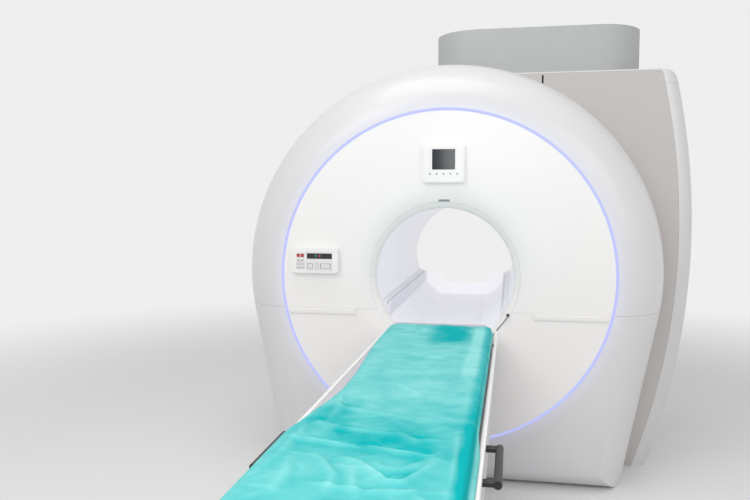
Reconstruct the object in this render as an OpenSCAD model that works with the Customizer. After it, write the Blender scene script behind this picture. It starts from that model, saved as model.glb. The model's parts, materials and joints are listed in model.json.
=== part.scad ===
// MRI scanner: a closed-bore gantry and its fixed patient table.
// X runs to the right, Y runs along the bore towards the back, Z is up.
// The origin is the floor point straight below the isocentre.

/* [Bore] */
// Height of the bore's axis above the floor
axis_h = 1070; // [1065:1:1075]
// Clear diameter of the patient bore
bore_d = 700; // [696:1:704]
// Wall of the bore's liner
liner_wall = 5; // [4:0.5:6]
// Width of the flare ring round the bore's mouth
flare_w = 30; // [27:1:32]
// Depth over which the front face rounds into the bore
mouth_depth = 56; // [52:1:60]

/* [Gantry covers] */
// Isocentre to the plane of the light ring
front_y = 800; // [796:1:810]
// Isocentre to the face of the rear cover
rear_y = 930; // [920:1:940]
// Thickness of the moulded covers
wall = 8; // [6:1:9]
// Centre radius of the light ring
light_r = 840; // [836:1:844]
// Width of the light ring
light_w = 12; // [10:1:14]
// Largest radius of the bezel ring
ring_r = 1105; // [1100:1:1110]
// Depth over which the bezel ring rounds back
ring_round = 320; // [300:5:340]
// Depth from the light ring's plane to the bezel's back edge
ring_depth = 450; // [440:1:460]
// Inward lean of the bezel's lower sides, in degrees
side_lean = 11; // [10:0.5:12]
// Height of the rounded toe at the floor
toe_h = 200; // [180:5:210]
// Depth of the rounded toe at the floor
toe_d = 160; // [150:5:170]
// Distance of the horizontal cover split below the bore's axis
split_drop = 170; // [165:1:175]
// How far the lower disc's top lip stands proud
lip_proud = 9; // [6:1:12]
// Width of a seam between two covers
seam = 0.8; // [0.6:0.1:0.9]

/* [Gantry body] */
// Widest reach of the right flank from the bore's axis
flank_x = 1287; // [1280:1:1290]
// Radius of the right flank's barrel curve
barrel_r = 3850; // [3800:10:3900]
// Height at which the right flank is widest
barrel_h = 1250; // [1235:5:1265]
// How far the flat roof lies below the top of the body's round
roof_drop = 18; // [14:1:22]
// Radius of the right flank's front edge
flank_round = 80; // [70:1:85]
// Radius of the corner between the right flank and the roof
roof_round = 95; // [85:1:105]

/* [Turret on the roof] */
// Width of the roof cover
turret_w = 1155; // [1145:1:1165]
// Depth of the roof cover
turret_l = 820; // [800:5:840]
// Height of the roof cover
turret_h = 270; // [260:1:280]
// Corner radius of the roof cover
turret_r = 250; // [240:1:260]
// Sideways place of the roof cover's middle
turret_x = 462; // [455:1:470]
// Lengthways place of the roof cover's middle
turret_y = 190; // [180:1:195]
// Outer diameter of the helium vent pipe
vent_d = 204; // [200:1:208]
// Bolt circle of the vent flange
vent_pcd = 260; // [256:1:264]
// Bolt hole diameter of the vent flange
vent_hole_d = 14; // [12:1:15]

/* [Magnet] */
// Outer radius of the vacuum vessel
vessel_r = 930; // [920:1:935]
// Length of the vacuum vessel
vessel_len = 1400; // [1380:5:1400]
// Radial thickness of the gradient coil
gradient_t = 100; // [95:1:105]
// Radial thickness of the body coil
body_coil_t = 11; // [10:0.5:12]
// Number of rungs of the body coil
coil_rungs = 16; // [12:2:20]
// Clearance between pieces that seat on each other
seat = 0.3; // [0.2:0.05:0.4]

/* [Floor frame] */
// Sideways distance between the anchor holes
anchor_x = 1100; // [1080:5:1120]
// Lengthways distance between the anchor holes
anchor_y = 1100; // [1080:5:1120]
// Diameter of the floor anchor holes
anchor_d = 18; // [16:1:20]
// Width of the plate that lines the table up with the frame
link_w = 300; // [260:10:320]
// Thickness of that plate
link_t = 10; // [8:1:12]

/* [Patient table] */
// Height of the fixed side rails above the floor, table raised
rail_h = 821; // [819:1:823]
// Half width over the side rails
rail_x = 276; // [272:1:280]
// Half width of the moving tabletop
top_x = 230; // [226:1:232]
// Length of the table
table_len = 2350; // [2320:5:2380]
// Gap between the light ring's plane and the table's head end
head_gap = 60; // [50:1:64]
// Length of tabletop that stays over its deck at full travel
stay_len = 570; // [565:5:610]
// Travel of the lift
lift_travel = 320; // [300:5:320]
// Width of a side rail
rail_w = 16; // [14:1:18]
// Height of the tabletop's running face above the floor
run_h = 770; // [769:1:771]
// Thickness of the mattress above the tabletop's edge
pad_rise = 30; // [26:1:34]
// Thickness of the cover sheet
sheet_t = 3; // [2:0.5:4]
// Distance of the sheet's head edge from the tabletop's head
sheet_back = 140; // [120:5:160]
// Length of a side grip
grip_len = 265; // [245:5:285]
// Diameter of a side grip
grip_d = 22; // [20:1:24]

/* [Control panel] */
// Width of the control panel
panel_w = 250; // [245:1:255]
// Height of the control panel
panel_h = 136; // [132:1:140]
// How far the control panel stands out
panel_t = 30; // [26:1:32]
// Travel of a panel key
key_travel = 1.5; // [1:0.25:2]
// Clearance round a panel key
key_gap = 0.5; // [0.4:0.1:0.7]

/* [Hidden] */
$fn = 96;

// Bore and coil radii, from the patient outwards
bore_r = bore_d / 2;
liner_r = bore_r + liner_wall;
body_coil_r0 = liner_r + seat;
body_coil_r1 = body_coil_r0 + body_coil_t;
gradient_r0 = body_coil_r1 + seat;
gradient_r1 = gradient_r0 + gradient_t;
vessel_r0 = gradient_r1 + seat;
flare_r = bore_r + flare_w;
rear_flare_w = 60;
rear_flare_r = bore_r + rear_flare_w;
rear_flare_depth = 60;

// Outer radius of the rounded left flank, tucked inside the bezel ring
body_r = ring_r - wall - seat;

// Lengthways places, front to back
face_y = -front_y;
ring_back_y = face_y + ring_depth;
flare_y1 = face_y + mouth_depth;
vessel_y = vessel_len / 2;
gradient_y = vessel_y - 40;
body_coil_y = gradient_y - 100;
rear_in_y = rear_y - wall;
rear_flare_y = rear_y - rear_flare_depth;

// The rounded mouth: one quarter of an ellipse from the face into the bore, parted at flare_r
cove_r = 480;
cove_w = cove_r - bore_r;
flare_u = asin((cove_r - flare_r) / cove_w);
disc_u = asin((cove_r - flare_r - seam) / cove_w);
mouth_steps = 6;
function mouth(u) = [cove_r - cove_w * sin(u), face_y + mouth_depth * (1 - cos(u))];
flare_y0 = mouth(flare_u)[1];

// Light ring and what it parts
light_r0 = light_r - light_w / 2;
light_r1 = light_r + light_w / 2;
disc_r = light_r0 - seam;
ring_in = light_r1 + seam;
split_z = -split_drop;
channel_y0 = face_y + wall + seat;
channel_y1 = face_y + 50;
channel_lip = 26;
channel_wall = 4;

// Set-back of the channel's outer lip behind the bezel's curve
lip_set = 1.5;

// Length of the floor frame's beams, clear of the front covers' toe
frame_gap = 20;
frame_l = 2 * (front_y - toe_d - frame_gap);

// Right flank: the barrel's own centre, and the corner where it rounds into the roof
barrel_x = flank_x - barrel_r;
deck_z = axis_h + body_r - roof_drop;
fascia_y = ring_back_y + seat;
flank_tuck = 40;
big = 6000;

// Centre and lowest angle of an arc of radius r between the barrel set in by edge and a top
corner_over = 1;
function corner_x(r, edge, top) =
    barrel_x + sqrt(pow(barrel_r - edge - r, 2) - pow(top - r - barrel_h, 2)) + corner_over;
function corner_turn(r, edge, top) = asin((top - r - barrel_h) / (barrel_r - edge - r));
corner_z = deck_z - roof_round + roof_round * sin(corner_turn(roof_round, 0, deck_z));
fascia_round = 20;
slot_x = 484;

// What passes through the roof
neck_r = 170;
cold_x = 112;
cold_r = 90;

// Table places
head_y = face_y - head_gap;
foot_y = head_y - table_len;
top_head_y = head_y - 20;
top_foot_y = foot_y + 20;
slide_travel = top_head_y - top_foot_y - stay_len;
carrier_h0 = 650;
carrier_wall = 12;
carrier_x = rail_x - 4;
tray_x = top_x + 14;
flange_w = 24;
plinth_h0 = 570;
deck_h1 = run_h - 8;
deck_t = 8;
top_edge_h = run_h + 65;
pad_top_h = top_edge_h + pad_rise;
pad_x = top_x + 10;
lift_mid_y = (head_y + foot_y) / 2 + 330;
column_gap = 700;
column_r = 70;
column_wall = 8;
plate_t = 15;
stage_h = [236, 408, plinth_h0];
stage_low = [plate_t, plate_t + 3 + lift_travel / 2, plate_t + 5 + lift_travel];
bridge_t = 8;
shroud_l = 1240;
shroud_w = 400;
shroud_step = 15;
shroud_r = 90;

// Control panel places
panel_x = -660;
panel_z = 1150;
panel_y = face_y - panel_t;
key_t = 4;
key_proud = 1.5;
key_w = 44;
key_x = panel_x - 76;

// The free lead at the bore's lower right, exit to re-entry
lead_d = 5;
lead_sides = 8;
LEAD = [
    [322, -786, 886], [322, -797, 885], [320, -808, 882], [316, -818, 877],
    [309, -827, 869], [301, -834, 859], [291, -839, 847], [280, -842, 834],
    [270, -843, 821], [260, -843, 807], [254, -843, 792], [250, -843, 776],
    [246, -843, 758], [242, -842, 739], [239, -841, 720], [236, -840, 701],
    [233, -839, 682], [230, -837, 664], [226, -833, 649], [222, -825, 639],
    [220, -813, 636]
];

// A lathed piece round the bore's axis, drawn as [radius, y]
module lathe(start = 0, sweep = 360) {
    translate([0, 0, axis_h])
        rotate([-90, 0, 0])
            rotate([0, 0, start])
                rotate_extrude(angle = sweep)
                    children();
}

// A flat piece seen from the front, drawn as [x, z] from the bore's axis
module slab(y0, y1) {
    translate([0, y1, axis_h])
        rotate([90, 0, 0])
            linear_extrude(y1 - y0)
                children();
}

// A piece of constant section along Y, drawn as [x, z] from the floor
module run(y0, y1) {
    translate([0, y1, 0])
        rotate([90, 0, 0])
            linear_extrude(y1 - y0)
                children();
}

// A rectangle with round corners about its middle
module round_rect(w, h, r) {
    square([w - 2 * r, h], center = true);
    square([w, h - 2 * r], center = true);
    for (sx = [-1, 1], sy = [-1, 1])
        translate([sx * (w / 2 - r), sy * (h / 2 - r)])
            circle(r);
}

// A block with round vertical corners, standing on z0
module round_block(w, l, r, z0, z1) {
    translate([0, 0, z0])
        linear_extrude(z1 - z0)
            round_rect(w, l, r);
}

// An open-ended tube of rounded plan
module round_tube(w, l, r, t, z0, z1) {
    difference() {
        round_block(w, l, r, z0, z1);
        round_block(w - 2 * t, l - 2 * t, r - t, z0 - 1, z1 + 1);
    }
}

// Everything above or below the horizontal split of the front covers
module above_split(gap) {
    translate([-big / 2, -big / 2, axis_h + split_z + gap / 2])
        cube([big, big, big / 2]);
}

module below_split(gap) {
    translate([-big / 2, -big / 2, axis_h + split_z - gap / 2 - big / 2])
        cube([big, big, big / 2]);
}

// Front form of the gantry as a solid, set in by i on every face
function ring_curve(i) = [
    for (u = [0 : 5 : 90])
        [ring_in + (ring_r - i - ring_in) * sin(u), face_y + i + ring_round * (1 - cos(u))]
];

module front_section(i) {
    polygon(concat(
        [[0, ring_back_y + i], [0, face_y + i]],
        ring_curve(i),
        [[ring_r - i, ring_back_y + i]]
    ));
}

module front_leg(i) {
    leg_len = 1.2 * axis_h;
    lap = 60;
    translate([0, 0, axis_h])
        rotate([-90, 0, 0])
            rotate([0, 0, side_lean])
                rotate([90, 0, 0])
                    translate([0, 0, -leg_len])
                        linear_extrude(leg_len + lap)
                            front_section(i);
}

// Side view of the space the front may fill, with its rounded toe
module toe_space(i) {
    translate([-big / 2, 0, 0])
        rotate([90, 0, 90])
            linear_extrude(big)
                polygon(concat(
                    [[ring_back_y + 2 * wall, -i], [ring_back_y + 2 * wall, big / 2], [face_y + i, big / 2]],
                    [for (u = [0 : 10 : 90])
                        [face_y + toe_d - (toe_d - i) * cos(u), toe_h - (toe_h - i) * sin(u)]],
                    [[face_y + toe_d, -i]]
                ));
}

module front_arch(i) {
    below = 2 + asin(split_drop / ring_in);
    lathe(-180 - below, 180 + 2 * below)
        front_section(i);
}

module front_side(i) {
    intersection() {
        front_leg(i);
        toe_space(i);
    }
}

// Hole that the light ring and the discs fill
module ring_hole() {
    lathe()
        polygon([[0, face_y - 1], [ring_in, face_y - 1], [ring_in, ring_back_y], [0, ring_back_y]]);
}

// Lower cover of one side, with the notch over the table's floor plate
module ring_lower() {
    difference() {
        front_side(0);
        front_side(wall);
        ring_hole();
        above_split(-seam);
        translate([seam / 2 - big, -big / 2, -1])
            cube([big, big, big]);
        translate([-1, -big / 2, -1])
            cube([link_w / 2 + 3, big, link_t + 3]);
    }
}

// Section of the front disc: its face rounds down to the flare ring
module disc_section() {
    polygon(concat(
        [for (k = [0 : mouth_steps]) mouth(k * disc_u / mouth_steps)],
        [[flare_r + seam, flare_y0 + wall], [cove_r, face_y + wall], [disc_r, face_y + wall], [disc_r, face_y]]
    ));
}

// Outline of the gantry's body from the front, set in by i
module body_outline(i) {
    lean_x = (body_r - i) / cos(side_lean);
    drop = axis_h * tan(side_lean);
    difference() {
        union() {
            intersection() {
                circle(body_r - i);
                translate([-big / 2, -body_r * sin(side_lean)])
                    square([big, deck_z - i - axis_h + body_r * sin(side_lean)]);
            }
            polygon([
                [0, -(body_r - i) * sin(side_lean)],
                [-(body_r - i) * cos(side_lean), -(body_r - i) * sin(side_lean)],
                [-lean_x + drop, -axis_h],
                [0, -axis_h]
            ]);
            intersection() {
                translate([-0.01, -axis_h])
                    square([2 * flank_x, deck_z - i]);
                translate([barrel_x, barrel_h - axis_h])
                    circle(barrel_r - i, $fn = 720);
            }
        }
        corner_off(roof_round - i, i, deck_z - i);
    }
}

// Floor frame that carries the vessel and is anchored to the floor
module base_frame() {
    beam_w = 160;
    beam_h = 90;
    foot_t = 20;
    foot_r = 70;
    saddle_w = 260;
    saddle_l = 120;
    saddle_h = axis_h - 650;
    saddle_in = 40;
    beam_in = 90;
    color("dimgray")
        difference() {
            union() {
                for (side = [-1, 1]) {
                    translate([side * (anchor_x / 2 - beam_in) - beam_w / 2, -frame_l / 2, 0])
                        cube([beam_w, frame_l, beam_h]);
                    for (end = [-1, 1]) {
                        translate([side * anchor_x / 2, end * anchor_y / 2, 0])
                            cylinder(h = foot_t, r = foot_r);
                        translate([side * (anchor_x / 2 - beam_in) - saddle_w / 2,
                            end * (anchor_y / 2 - saddle_in) - saddle_l / 2, 0])
                            cube([saddle_w, saddle_l, saddle_h]);
                    }
                }
                for (y = [beam_w / 2 - frame_l / 2, 0, frame_l / 2 - beam_w / 2])
                    translate([-anchor_x / 2 + beam_in, y - beam_w / 2, 0])
                        cube([anchor_x - 2 * beam_in, beam_w, beam_h]);
            }
            vessel_space();
            for (sx = [-1, 1], sy = [-1, 1])
                translate([sx * anchor_x / 2, sy * anchor_y / 2, -1])
                    cylinder(h = foot_t + beam_h, d = anchor_d);
        }
}

// Space that the vessel takes, with its clearance
module vessel_space() {
    translate([0, vessel_y, axis_h])
        rotate([90, 0, 0])
            cylinder(h = vessel_len, r = vessel_r + seat, $fn = 360);
}

// Vacuum vessel with dished corners
module magnet_vessel() {
    corner = 60;
    color("lightsteelblue")
        lathe()
            polygon(concat(
                [[vessel_r0, -vessel_y], [vessel_r - corner, -vessel_y]],
                [for (u = [15 : 15 : 75]) [vessel_r - corner + corner * sin(u), -vessel_y + corner - corner * cos(u)]],
                [[vessel_r, -vessel_y + corner], [vessel_r, vessel_y - corner]],
                [for (u = [75 : -15 : 15]) [vessel_r - corner + corner * sin(u), vessel_y - corner + corner * cos(u)]],
                [[vessel_r - corner, vessel_y], [vessel_r0, vessel_y]]
            ));
}

// Potted gradient coil with its shim tray pockets in the front face
module gradient_coil() {
    pockets = 16;
    pocket_r = (gradient_r0 + gradient_r1) / 2;
    color("peru")
        difference() {
            lathe()
                translate([gradient_r0, -gradient_y])
                    square([gradient_t, 2 * gradient_y]);
            for (n = [0 : pockets - 1])
                translate([0, 0, axis_h])
                    rotate([0, n * 360 / pockets, 0])
                        translate([pocket_r - 8, -gradient_y - 1, -20])
                            cube([16, 220, 40]);
        }
}

// Birdcage body coil: two end rings and rungs on a former
module body_coil() {
    ring_len = 60;
    rung_w = 24;
    former_t = body_coil_t / 2;
    color("goldenrod")
        union() {
            lathe()
                translate([body_coil_r0, -body_coil_y])
                    square([former_t, 2 * body_coil_y]);
            for (end = [-body_coil_y, body_coil_y - ring_len])
                lathe()
                    translate([body_coil_r0, end])
                        square([body_coil_t, ring_len]);
            for (n = [0 : coil_rungs - 1])
                lathe(n * 360 / coil_rungs, rung_w / body_coil_r0 * 180 / PI)
                    translate([body_coil_r0 + former_t / 2, ring_len / 2 - body_coil_y])
                        square([body_coil_t - former_t, 2 * body_coil_y - ring_len]);
        }
}

// Liner tube that the patient sees
module bore_liner() {
    color("whitesmoke")
        lathe()
            translate([bore_r, flare_y1 + seam])
                square([liner_wall, rear_flare_y - flare_y1 - 2 * seam]);
}

// Rounded flare at the mouth, in two halves
module flare_section() {
    polygon(concat(
        [for (k = [0 : mouth_steps]) mouth(flare_u + k * (90 - flare_u) / mouth_steps)],
        [[bore_r + liner_wall, flare_y1], [flare_r - 2, flare_y0 + wall], [flare_r, flare_y0 + wall]]
    ));
}

module flare_upper() {
    gap_deg = 0.06;
    color("gainsboro")
        lathe(-180 + gap_deg, 180 - 2 * gap_deg)
            flare_section();
}

module flare_lower() {
    gap_deg = 0.06;
    color("gainsboro")
        difference() {
            lathe(gap_deg, 180 - 2 * gap_deg)
                flare_section();
            grommet_holes();
        }
}

// Flare at the back, one moulding
module rear_flare() {
    color("gainsboro")
        lathe()
            polygon(concat(
                [for (u = [90 : -15 : 0])
                    [rear_flare_r - rear_flare_w * sin(u), rear_y - rear_flare_depth * (1 - cos(u))]],
                [[rear_flare_r, rear_y - wall], [rear_flare_r - 6, rear_y - wall], [bore_r + liner_wall, rear_flare_y]]
            ));
}

// Fixed running floor inside the bore
module bore_bridge() {
    floor_z = run_h - axis_h - 6;
    rail_half = 15;
    color("whitesmoke")
        slab(flare_y1 + seam, rear_in_y - 45)
            intersection() {
                circle(bore_r - seat);
                union() {
                    translate([-bore_r, -bore_r])
                        square([2 * bore_r, bore_r + floor_z]);
                    for (side = [-1, 1])
                        translate([side * 120 - rail_half, -bore_r])
                            square([2 * rail_half, bore_r + run_h - axis_h - seat]);
                }
            }
}

// Side ledge with its cable groove, along the liner's wall
module bore_ledge() {
    inner_x = top_x + 50;
    top_z = -145;
    slope_x = 327;
    slope_z = -125;
    groove_x = inner_x + 11;
    color("lavender")
        slab(flare_y1 + seam, rear_in_y - 45)
            intersection() {
                circle(bore_r - seat);
                difference() {
                    polygon([[inner_x, -bore_r], [inner_x, top_z], [slope_x, slope_z], [bore_r, slope_z],
                        [bore_r, -bore_r]]);
                    translate([groove_x, top_z - 6])
                        square([5, 40]);
                }
            }
}

module bore_ledge_left() {
    mirror([1, 0, 0])
        bore_ledge();
}

module bore_ledge_right() {
    bore_ledge();
}

// Sill across the back of the bore, with its dipped upper edge
module rear_sill() {
    dip_x = 155;
    horn_x = 215;
    dip_z = -224;
    horn_z = -154;
    color("white")
        slab(rear_in_y - 45 + seam, rear_in_y - 5)
            intersection() {
                circle(bore_r - seat);
                polygon(concat(
                    [[bore_r, -bore_r], [bore_r, horn_z - 20], [horn_x + 20, horn_z]],
                    [for (u = [0 : 15 : 90]) [horn_x - (horn_x - dip_x) * sin(u), dip_z + (horn_z - dip_z) * cos(u)]],
                    [for (u = [90 : -15 : 0]) [-horn_x + (horn_x - dip_x) * sin(u), dip_z + (horn_z - dip_z) * cos(u)]],
                    [[-horn_x - 20, horn_z], [-bore_r, horn_z - 20], [-bore_r, -bore_r]]
                ));
            }
}

// Ring frame that carries the front covers off the vessel
module cover_frame() {
    plate = 8;
    plate_w = 70;
    post_r = 16;
    posts = 12;
    color("silver")
        union() {
            lathe()
                translate([light_r - plate_w / 2, channel_y1 + seat])
                    square([plate_w, plate]);
            for (n = [0 : posts - 1])
                translate([0, 0, axis_h])
                    rotate([0, 15 + n * 360 / posts, 0])
                        translate([light_r, -vessel_y - seat, 0])
                            rotate([90, 0, 0])
                                cylinder(h = -vessel_y - channel_y1 - 2 * seat - 1, r = post_r);
        }
}

// Channel that holds the light guide and backs the cover edges
module light_channel() {
    color("silver")
        lathe()
            polygon([
                [light_r - channel_lip, channel_y0], [light_r0 - 2, channel_y0], [light_r0 - 2, channel_y1 - channel_wall],
                [light_r1 + 2, channel_y1 - channel_wall], [light_r1 + 2, channel_y0 + lip_set],
                [light_r + channel_lip, channel_y0 + lip_set], [light_r + channel_lip, channel_y0 + channel_wall + lip_set],
                [light_r1 + 2 + channel_wall, channel_y0 + channel_wall + lip_set],
                [light_r1 + 2 + channel_wall, channel_y1], [light_r0 - 2 - channel_wall, channel_y1],
                [light_r0 - 2 - channel_wall, channel_y0 + channel_wall], [light_r - channel_lip, channel_y0 + channel_wall]
            ]);
}

// Light guide: a full ring with a domed front
module light_ring() {
    dome = 3;
    color("royalblue")
        lathe()
            polygon(concat(
                [[light_r1, channel_y1 - channel_wall - seat]],
                [for (u = [0 : 30 : 180]) [light_r + light_w / 2 * cos(u), face_y - dome * sin(u)]],
                [[light_r0, channel_y1 - channel_wall - seat]]
            ));
}

// Front disc above the split, bored for the window in it
module disc_upper() {
    color("white")
        difference() {
            intersection() {
                lathe()
                    disc_section();
                above_split(seam);
            }
            window_hole(seat);
        }
}

// Front disc below the split, with the lip that stands proud
module disc_lower() {
    lip_h = 14;
    lip_x = sqrt(pow(disc_r, 2) - pow(split_drop + lip_h, 2)) - 10;
    lip_in = sqrt(pow(cove_r, 2) - pow(split_drop, 2));
    color("white")
        union() {
            difference() {
                intersection() {
                    lathe()
                        disc_section();
                    below_split(seam);
                }
                grommet_holes();
            }
            for (side = [0, 1])
                mirror([side, 0, 0])
                    lip_bar(lip_in, lip_x, lip_h);
        }
}

module lip_bar(x0, x1, h) {
    translate([x0, face_y, axis_h + split_z - seam / 2])
        rotate([90, 0, 90])
            linear_extrude(x1 - x0)
                polygon(concat(
                    [[2, 0], [2, -h - 20]],
                    [for (u = [0 : 15 : 90]) [-lip_proud * sin(u), -(h + 20) + (h + 20) * (1 - cos(u)) * 0.5]],
                    [[-lip_proud, -3], [-lip_proud + 3, 0]]
                ));
}

// Bezel ring above the split
module ring_upper() {
    color("gainsboro")
        difference() {
            front_arch(0);
            front_arch(wall);
            ring_hole();
            below_split(-seam);
        }
}

module ring_lower_left() {
    color("gainsboro")
        mirror([1, 0, 0])
            ring_lower();
}

module ring_lower_right() {
    color("gainsboro")
        ring_lower();
}

// Rounded left flank, from the roof's middle to the floor
module flank_left() {
    color("whitesmoke")
        slab(ring_back_y - flank_tuck, rear_in_y - seam)
            intersection() {
                difference() {
                    body_outline(0);
                    body_outline(wall);
                }
                translate([-big - seam, -big / 2])
                    square([big, big]);
            }
}

// Barrel-shaped right flank with its rounded front edge
module flank_right() {
    reach = 42;
    color("lightgray")
        intersection() {
            translate([barrel_x, 0, barrel_h])
                rotate([-90, 0, 0])
                    rotate([0, 0, -reach / 2])
                        rotate_extrude(angle = reach, $fn = 720)
                            polygon(concat(
                                [for (u = [0 : 10 : 90])
                                    [barrel_r - flank_round + flank_round * sin(u),
                                        fascia_y + flank_round - flank_round * cos(u)]],
                                [[barrel_r, rear_in_y - seam], [barrel_r - wall, rear_in_y - seam]],
                                [for (u = [90 : -10 : 0])
                                    [barrel_r - flank_round + (flank_round - wall) * sin(u),
                                        fascia_y + flank_round - (flank_round - wall) * cos(u)]]
                            ));
            translate([0, -big / 2, 0])
                cube([big, big, corner_z - seam]);
        }
}

// What an arc of radius r takes off the corner between the barrel set in by edge and a top
module corner_off(r, edge, top) {
    cx = corner_x(r, edge, top);
    turn = corner_turn(r, edge, top);
    polygon(concat(
        [[cx, top - axis_h + 1]],
        [for (k = [0 : 16]) let (a = 90 - k * (90 - turn) / 16) [cx + r * cos(a), top - r - axis_h + r * sin(a)]],
        [[2 * flank_x, top - r - axis_h + r * sin(turn)], [2 * flank_x, top - axis_h + 1]]
    ));
}

// Space taken by the right half of the body, set in by edge
module corner_space(edge) {
    bend = flank_round - edge;
    intersection() {
        slab(fascia_y - 1, rear_in_y - seam + edge)
            difference() {
                translate([0, -axis_h])
                    square([2 * flank_x, deck_z - edge]);
                corner_off(roof_round - edge, edge, deck_z - edge);
            }
        translate([barrel_x, 0, barrel_h])
            rotate([-90, 0, 0])
                rotate_extrude($fn = 720)
                    polygon(concat(
                        [[0, fascia_y + edge]],
                        [for (u = [0 : 10 : 90])
                            [barrel_r - flank_round + bend * sin(u), fascia_y + flank_round - bend * cos(u)]],
                        [[barrel_r - edge, rear_y], [0, rear_y]]
                    ));
    }
}

// Outline of the glossy panel, grown by gap
module fascia_outline(gap) {
    top = deck_z - wall - seam + gap;
    difference() {
        intersection() {
            translate([0, -axis_h])
                square([2 * flank_x, top]);
            translate([barrel_x, barrel_h - axis_h])
                circle(barrel_r - flank_round - seam + gap, $fn = 720);
        }
        corner_off(fascia_round, flank_round + seam - gap, top);
    }
}

// Glossy panel beside the bezel ring, with its finger slot
module fascia() {
    slot_w = 9;
    slot_h = 54;
    slot_top = deck_z - axis_h - wall - seam - 8;
    color("rosybrown")
        slab(fascia_y, fascia_y + wall)
            difference() {
                fascia_outline(0);
                circle(ring_r - 40);
                polygon([
                    [0, 0],
                    [(ring_r - 40) * cos(side_lean), -(ring_r - 40) * sin(side_lean)],
                    [(ring_r - 40) / cos(side_lean) - axis_h * tan(side_lean), -axis_h - 1],
                    [0, -axis_h - 1]
                ]);
                translate([slot_x, slot_top - slot_h])
                    square([slot_w, slot_h]);
            }
}

// Roof over the right half of the body, bent down to meet the flank
module roof_deck() {
    color("lightgray")
        difference() {
            corner_space(0);
            corner_space(wall);
            slab(fascia_y - 1, fascia_y + wall)
                fascia_outline(seam);
            translate([-1, -big / 2, -1])
                cube([big, big, corner_z + 1]);
            translate([-big, -big / 2, 0])
                cube([big, big, big]);
            translate([turret_x, turret_y, 0])
                round_block(2 * (turret_x - cold_x + cold_r + 12), 2 * (neck_r + 140), neck_r - 20, deck_z - 2 * wall,
                    deck_z + 1);
        }
}

// Back panel with the rear opening
module rear_cover() {
    color("whitesmoke")
        slab(rear_in_y, rear_y)
            difference() {
                body_outline(0);
                circle(rear_flare_r + seam);
            }
}

// Cover round the magnet's service turret
module roof_cover() {
    t = 6;
    color([0.68, 0.71, 0.70])
        translate([turret_x, turret_y, 0])
            difference() {
                round_block(turret_w, turret_l, turret_r, deck_z + seat, deck_z + turret_h);
                round_block(turret_w - 2 * t, turret_l - 2 * t, turret_r - t, deck_z - 1, deck_z + turret_h - t);
                cylinder(h = deck_z + turret_h + 10, d = vent_d + 20);
            }
}

// Service turret with the helium vent pipe and its flange
module magnet_turret() {
    neck_top = deck_z - wall - 40;
    flange_t = 18;
    pipe_top = deck_z + turret_h + 40;
    color("silver")
        difference() {
            union() {
                translate([turret_x, turret_y, axis_h])
                    cylinder(h = neck_top - axis_h, r = neck_r);
                translate([turret_x, turret_y, neck_top - 30])
                    cylinder(h = 30, r = neck_r + 30);
                translate([turret_x, turret_y, neck_top])
                    cylinder(h = pipe_top - neck_top, d = vent_d);
                translate([turret_x, turret_y, pipe_top - flange_t])
                    cylinder(h = flange_t, d = vent_pcd + 46);
            }
            translate([turret_x, turret_y, neck_top])
                cylinder(h = pipe_top, d = vent_d - 16);
            for (n = [0 : 7])
                translate([turret_x, turret_y, pipe_top - flange_t - 1])
                    rotate([0, 0, 22.5 + 45 * n])
                        translate([vent_pcd / 2, 0, 0])
                            cylinder(h = flange_t + 2, d = vent_hole_d);
            vessel_space();
        }
}

// Cryocooler standing on the vessel
module cold_head() {
    sleeve_z = axis_h + vessel_r - 30;
    color("steelblue")
        difference() {
            union() {
                translate([cold_x, turret_y, sleeve_z])
                    cylinder(h = 90, r = cold_r);
                translate([cold_x, turret_y, sleeve_z])
                    cylinder(h = 150, r = 62);
                translate([cold_x, turret_y, sleeve_z + 150])
                    cylinder(h = 90, r = 76);
                translate([cold_x, turret_y, sleeve_z + 240])
                    cylinder(h = 120, r = 50);
            }
            vessel_space();
        }
}

// Dark window of the positioning light, above the mouth
window_w = 56;
window_h = 10;
window_r = 3;
window_z = flare_r + 8;

module window_hole(gap) {
    slab(face_y - 30, face_y + 60)
        translate([0, window_z])
            round_rect(window_w + 2 * gap, window_h + 2 * gap, window_r + gap);
}

module laser_window() {
    color("dimgray")
        intersection() {
            slab(face_y, face_y + 30)
                translate([0, window_z])
                    round_rect(window_w, window_h, window_r);
            lathe()
                polygon(concat(
                    [for (k = [0 : mouth_steps]) mouth(k * disc_u / mouth_steps) + [0, seam]],
                    [[flare_r + seam, flare_y0 + wall], [cove_r, face_y + wall]]
                ));
        }
}

// Raised housing of the control panel, with its pockets
module panel_plate(w, h, r, y0, y1, x, z) {
    translate([x, y1, z])
        rotate([90, 0, 0])
            linear_extrude(y1 - y0)
                round_rect(w, h, r);
}

function key_z(n) = panel_z + [25, -1, -19, -38][n];
function key_h(n) = n == 0 ? 22 : 12;

module panel_housing() {
    round_y = 8;
    color("white")
        difference() {
            union() {
                for (s = [0 : 2])
                    panel_plate(panel_w - 2 * s * s, panel_h - 2 * s * s, 18 - s, panel_y + round_y * (2 - s) / 2 * 0.4,
                        face_y - seat, panel_x, panel_z);
            }
            for (n = [0 : 3])
                panel_plate(key_w + 2 * key_gap, key_h(n) + 2 * key_gap, 3 + key_gap, panel_y - 1, panel_y + 14, key_x,
                    key_z(n));
            panel_plate(139 + 2 * seat, 40 + 2 * seat, 3 + seat, panel_y - 1, panel_y + 5, panel_x + 25, panel_z + 22);
            panel_plate(139 + 2 * seat, 52 + 2 * seat, 3 + seat, panel_y - 1, panel_y + 2, panel_x + 25, panel_z - 29);
        }
}

module panel_display() {
    color([0.05, 0.06, 0.07])
        panel_plate(139, 40, 3, panel_y + 1, panel_y + 5 - seat, panel_x + 25, panel_z + 22);
}

module panel_labels() {
    color("lightgray")
        panel_plate(139, 52, 3, panel_y + 0.5, panel_y + 2 - seat, panel_x + 25, panel_z - 29);
}

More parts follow.
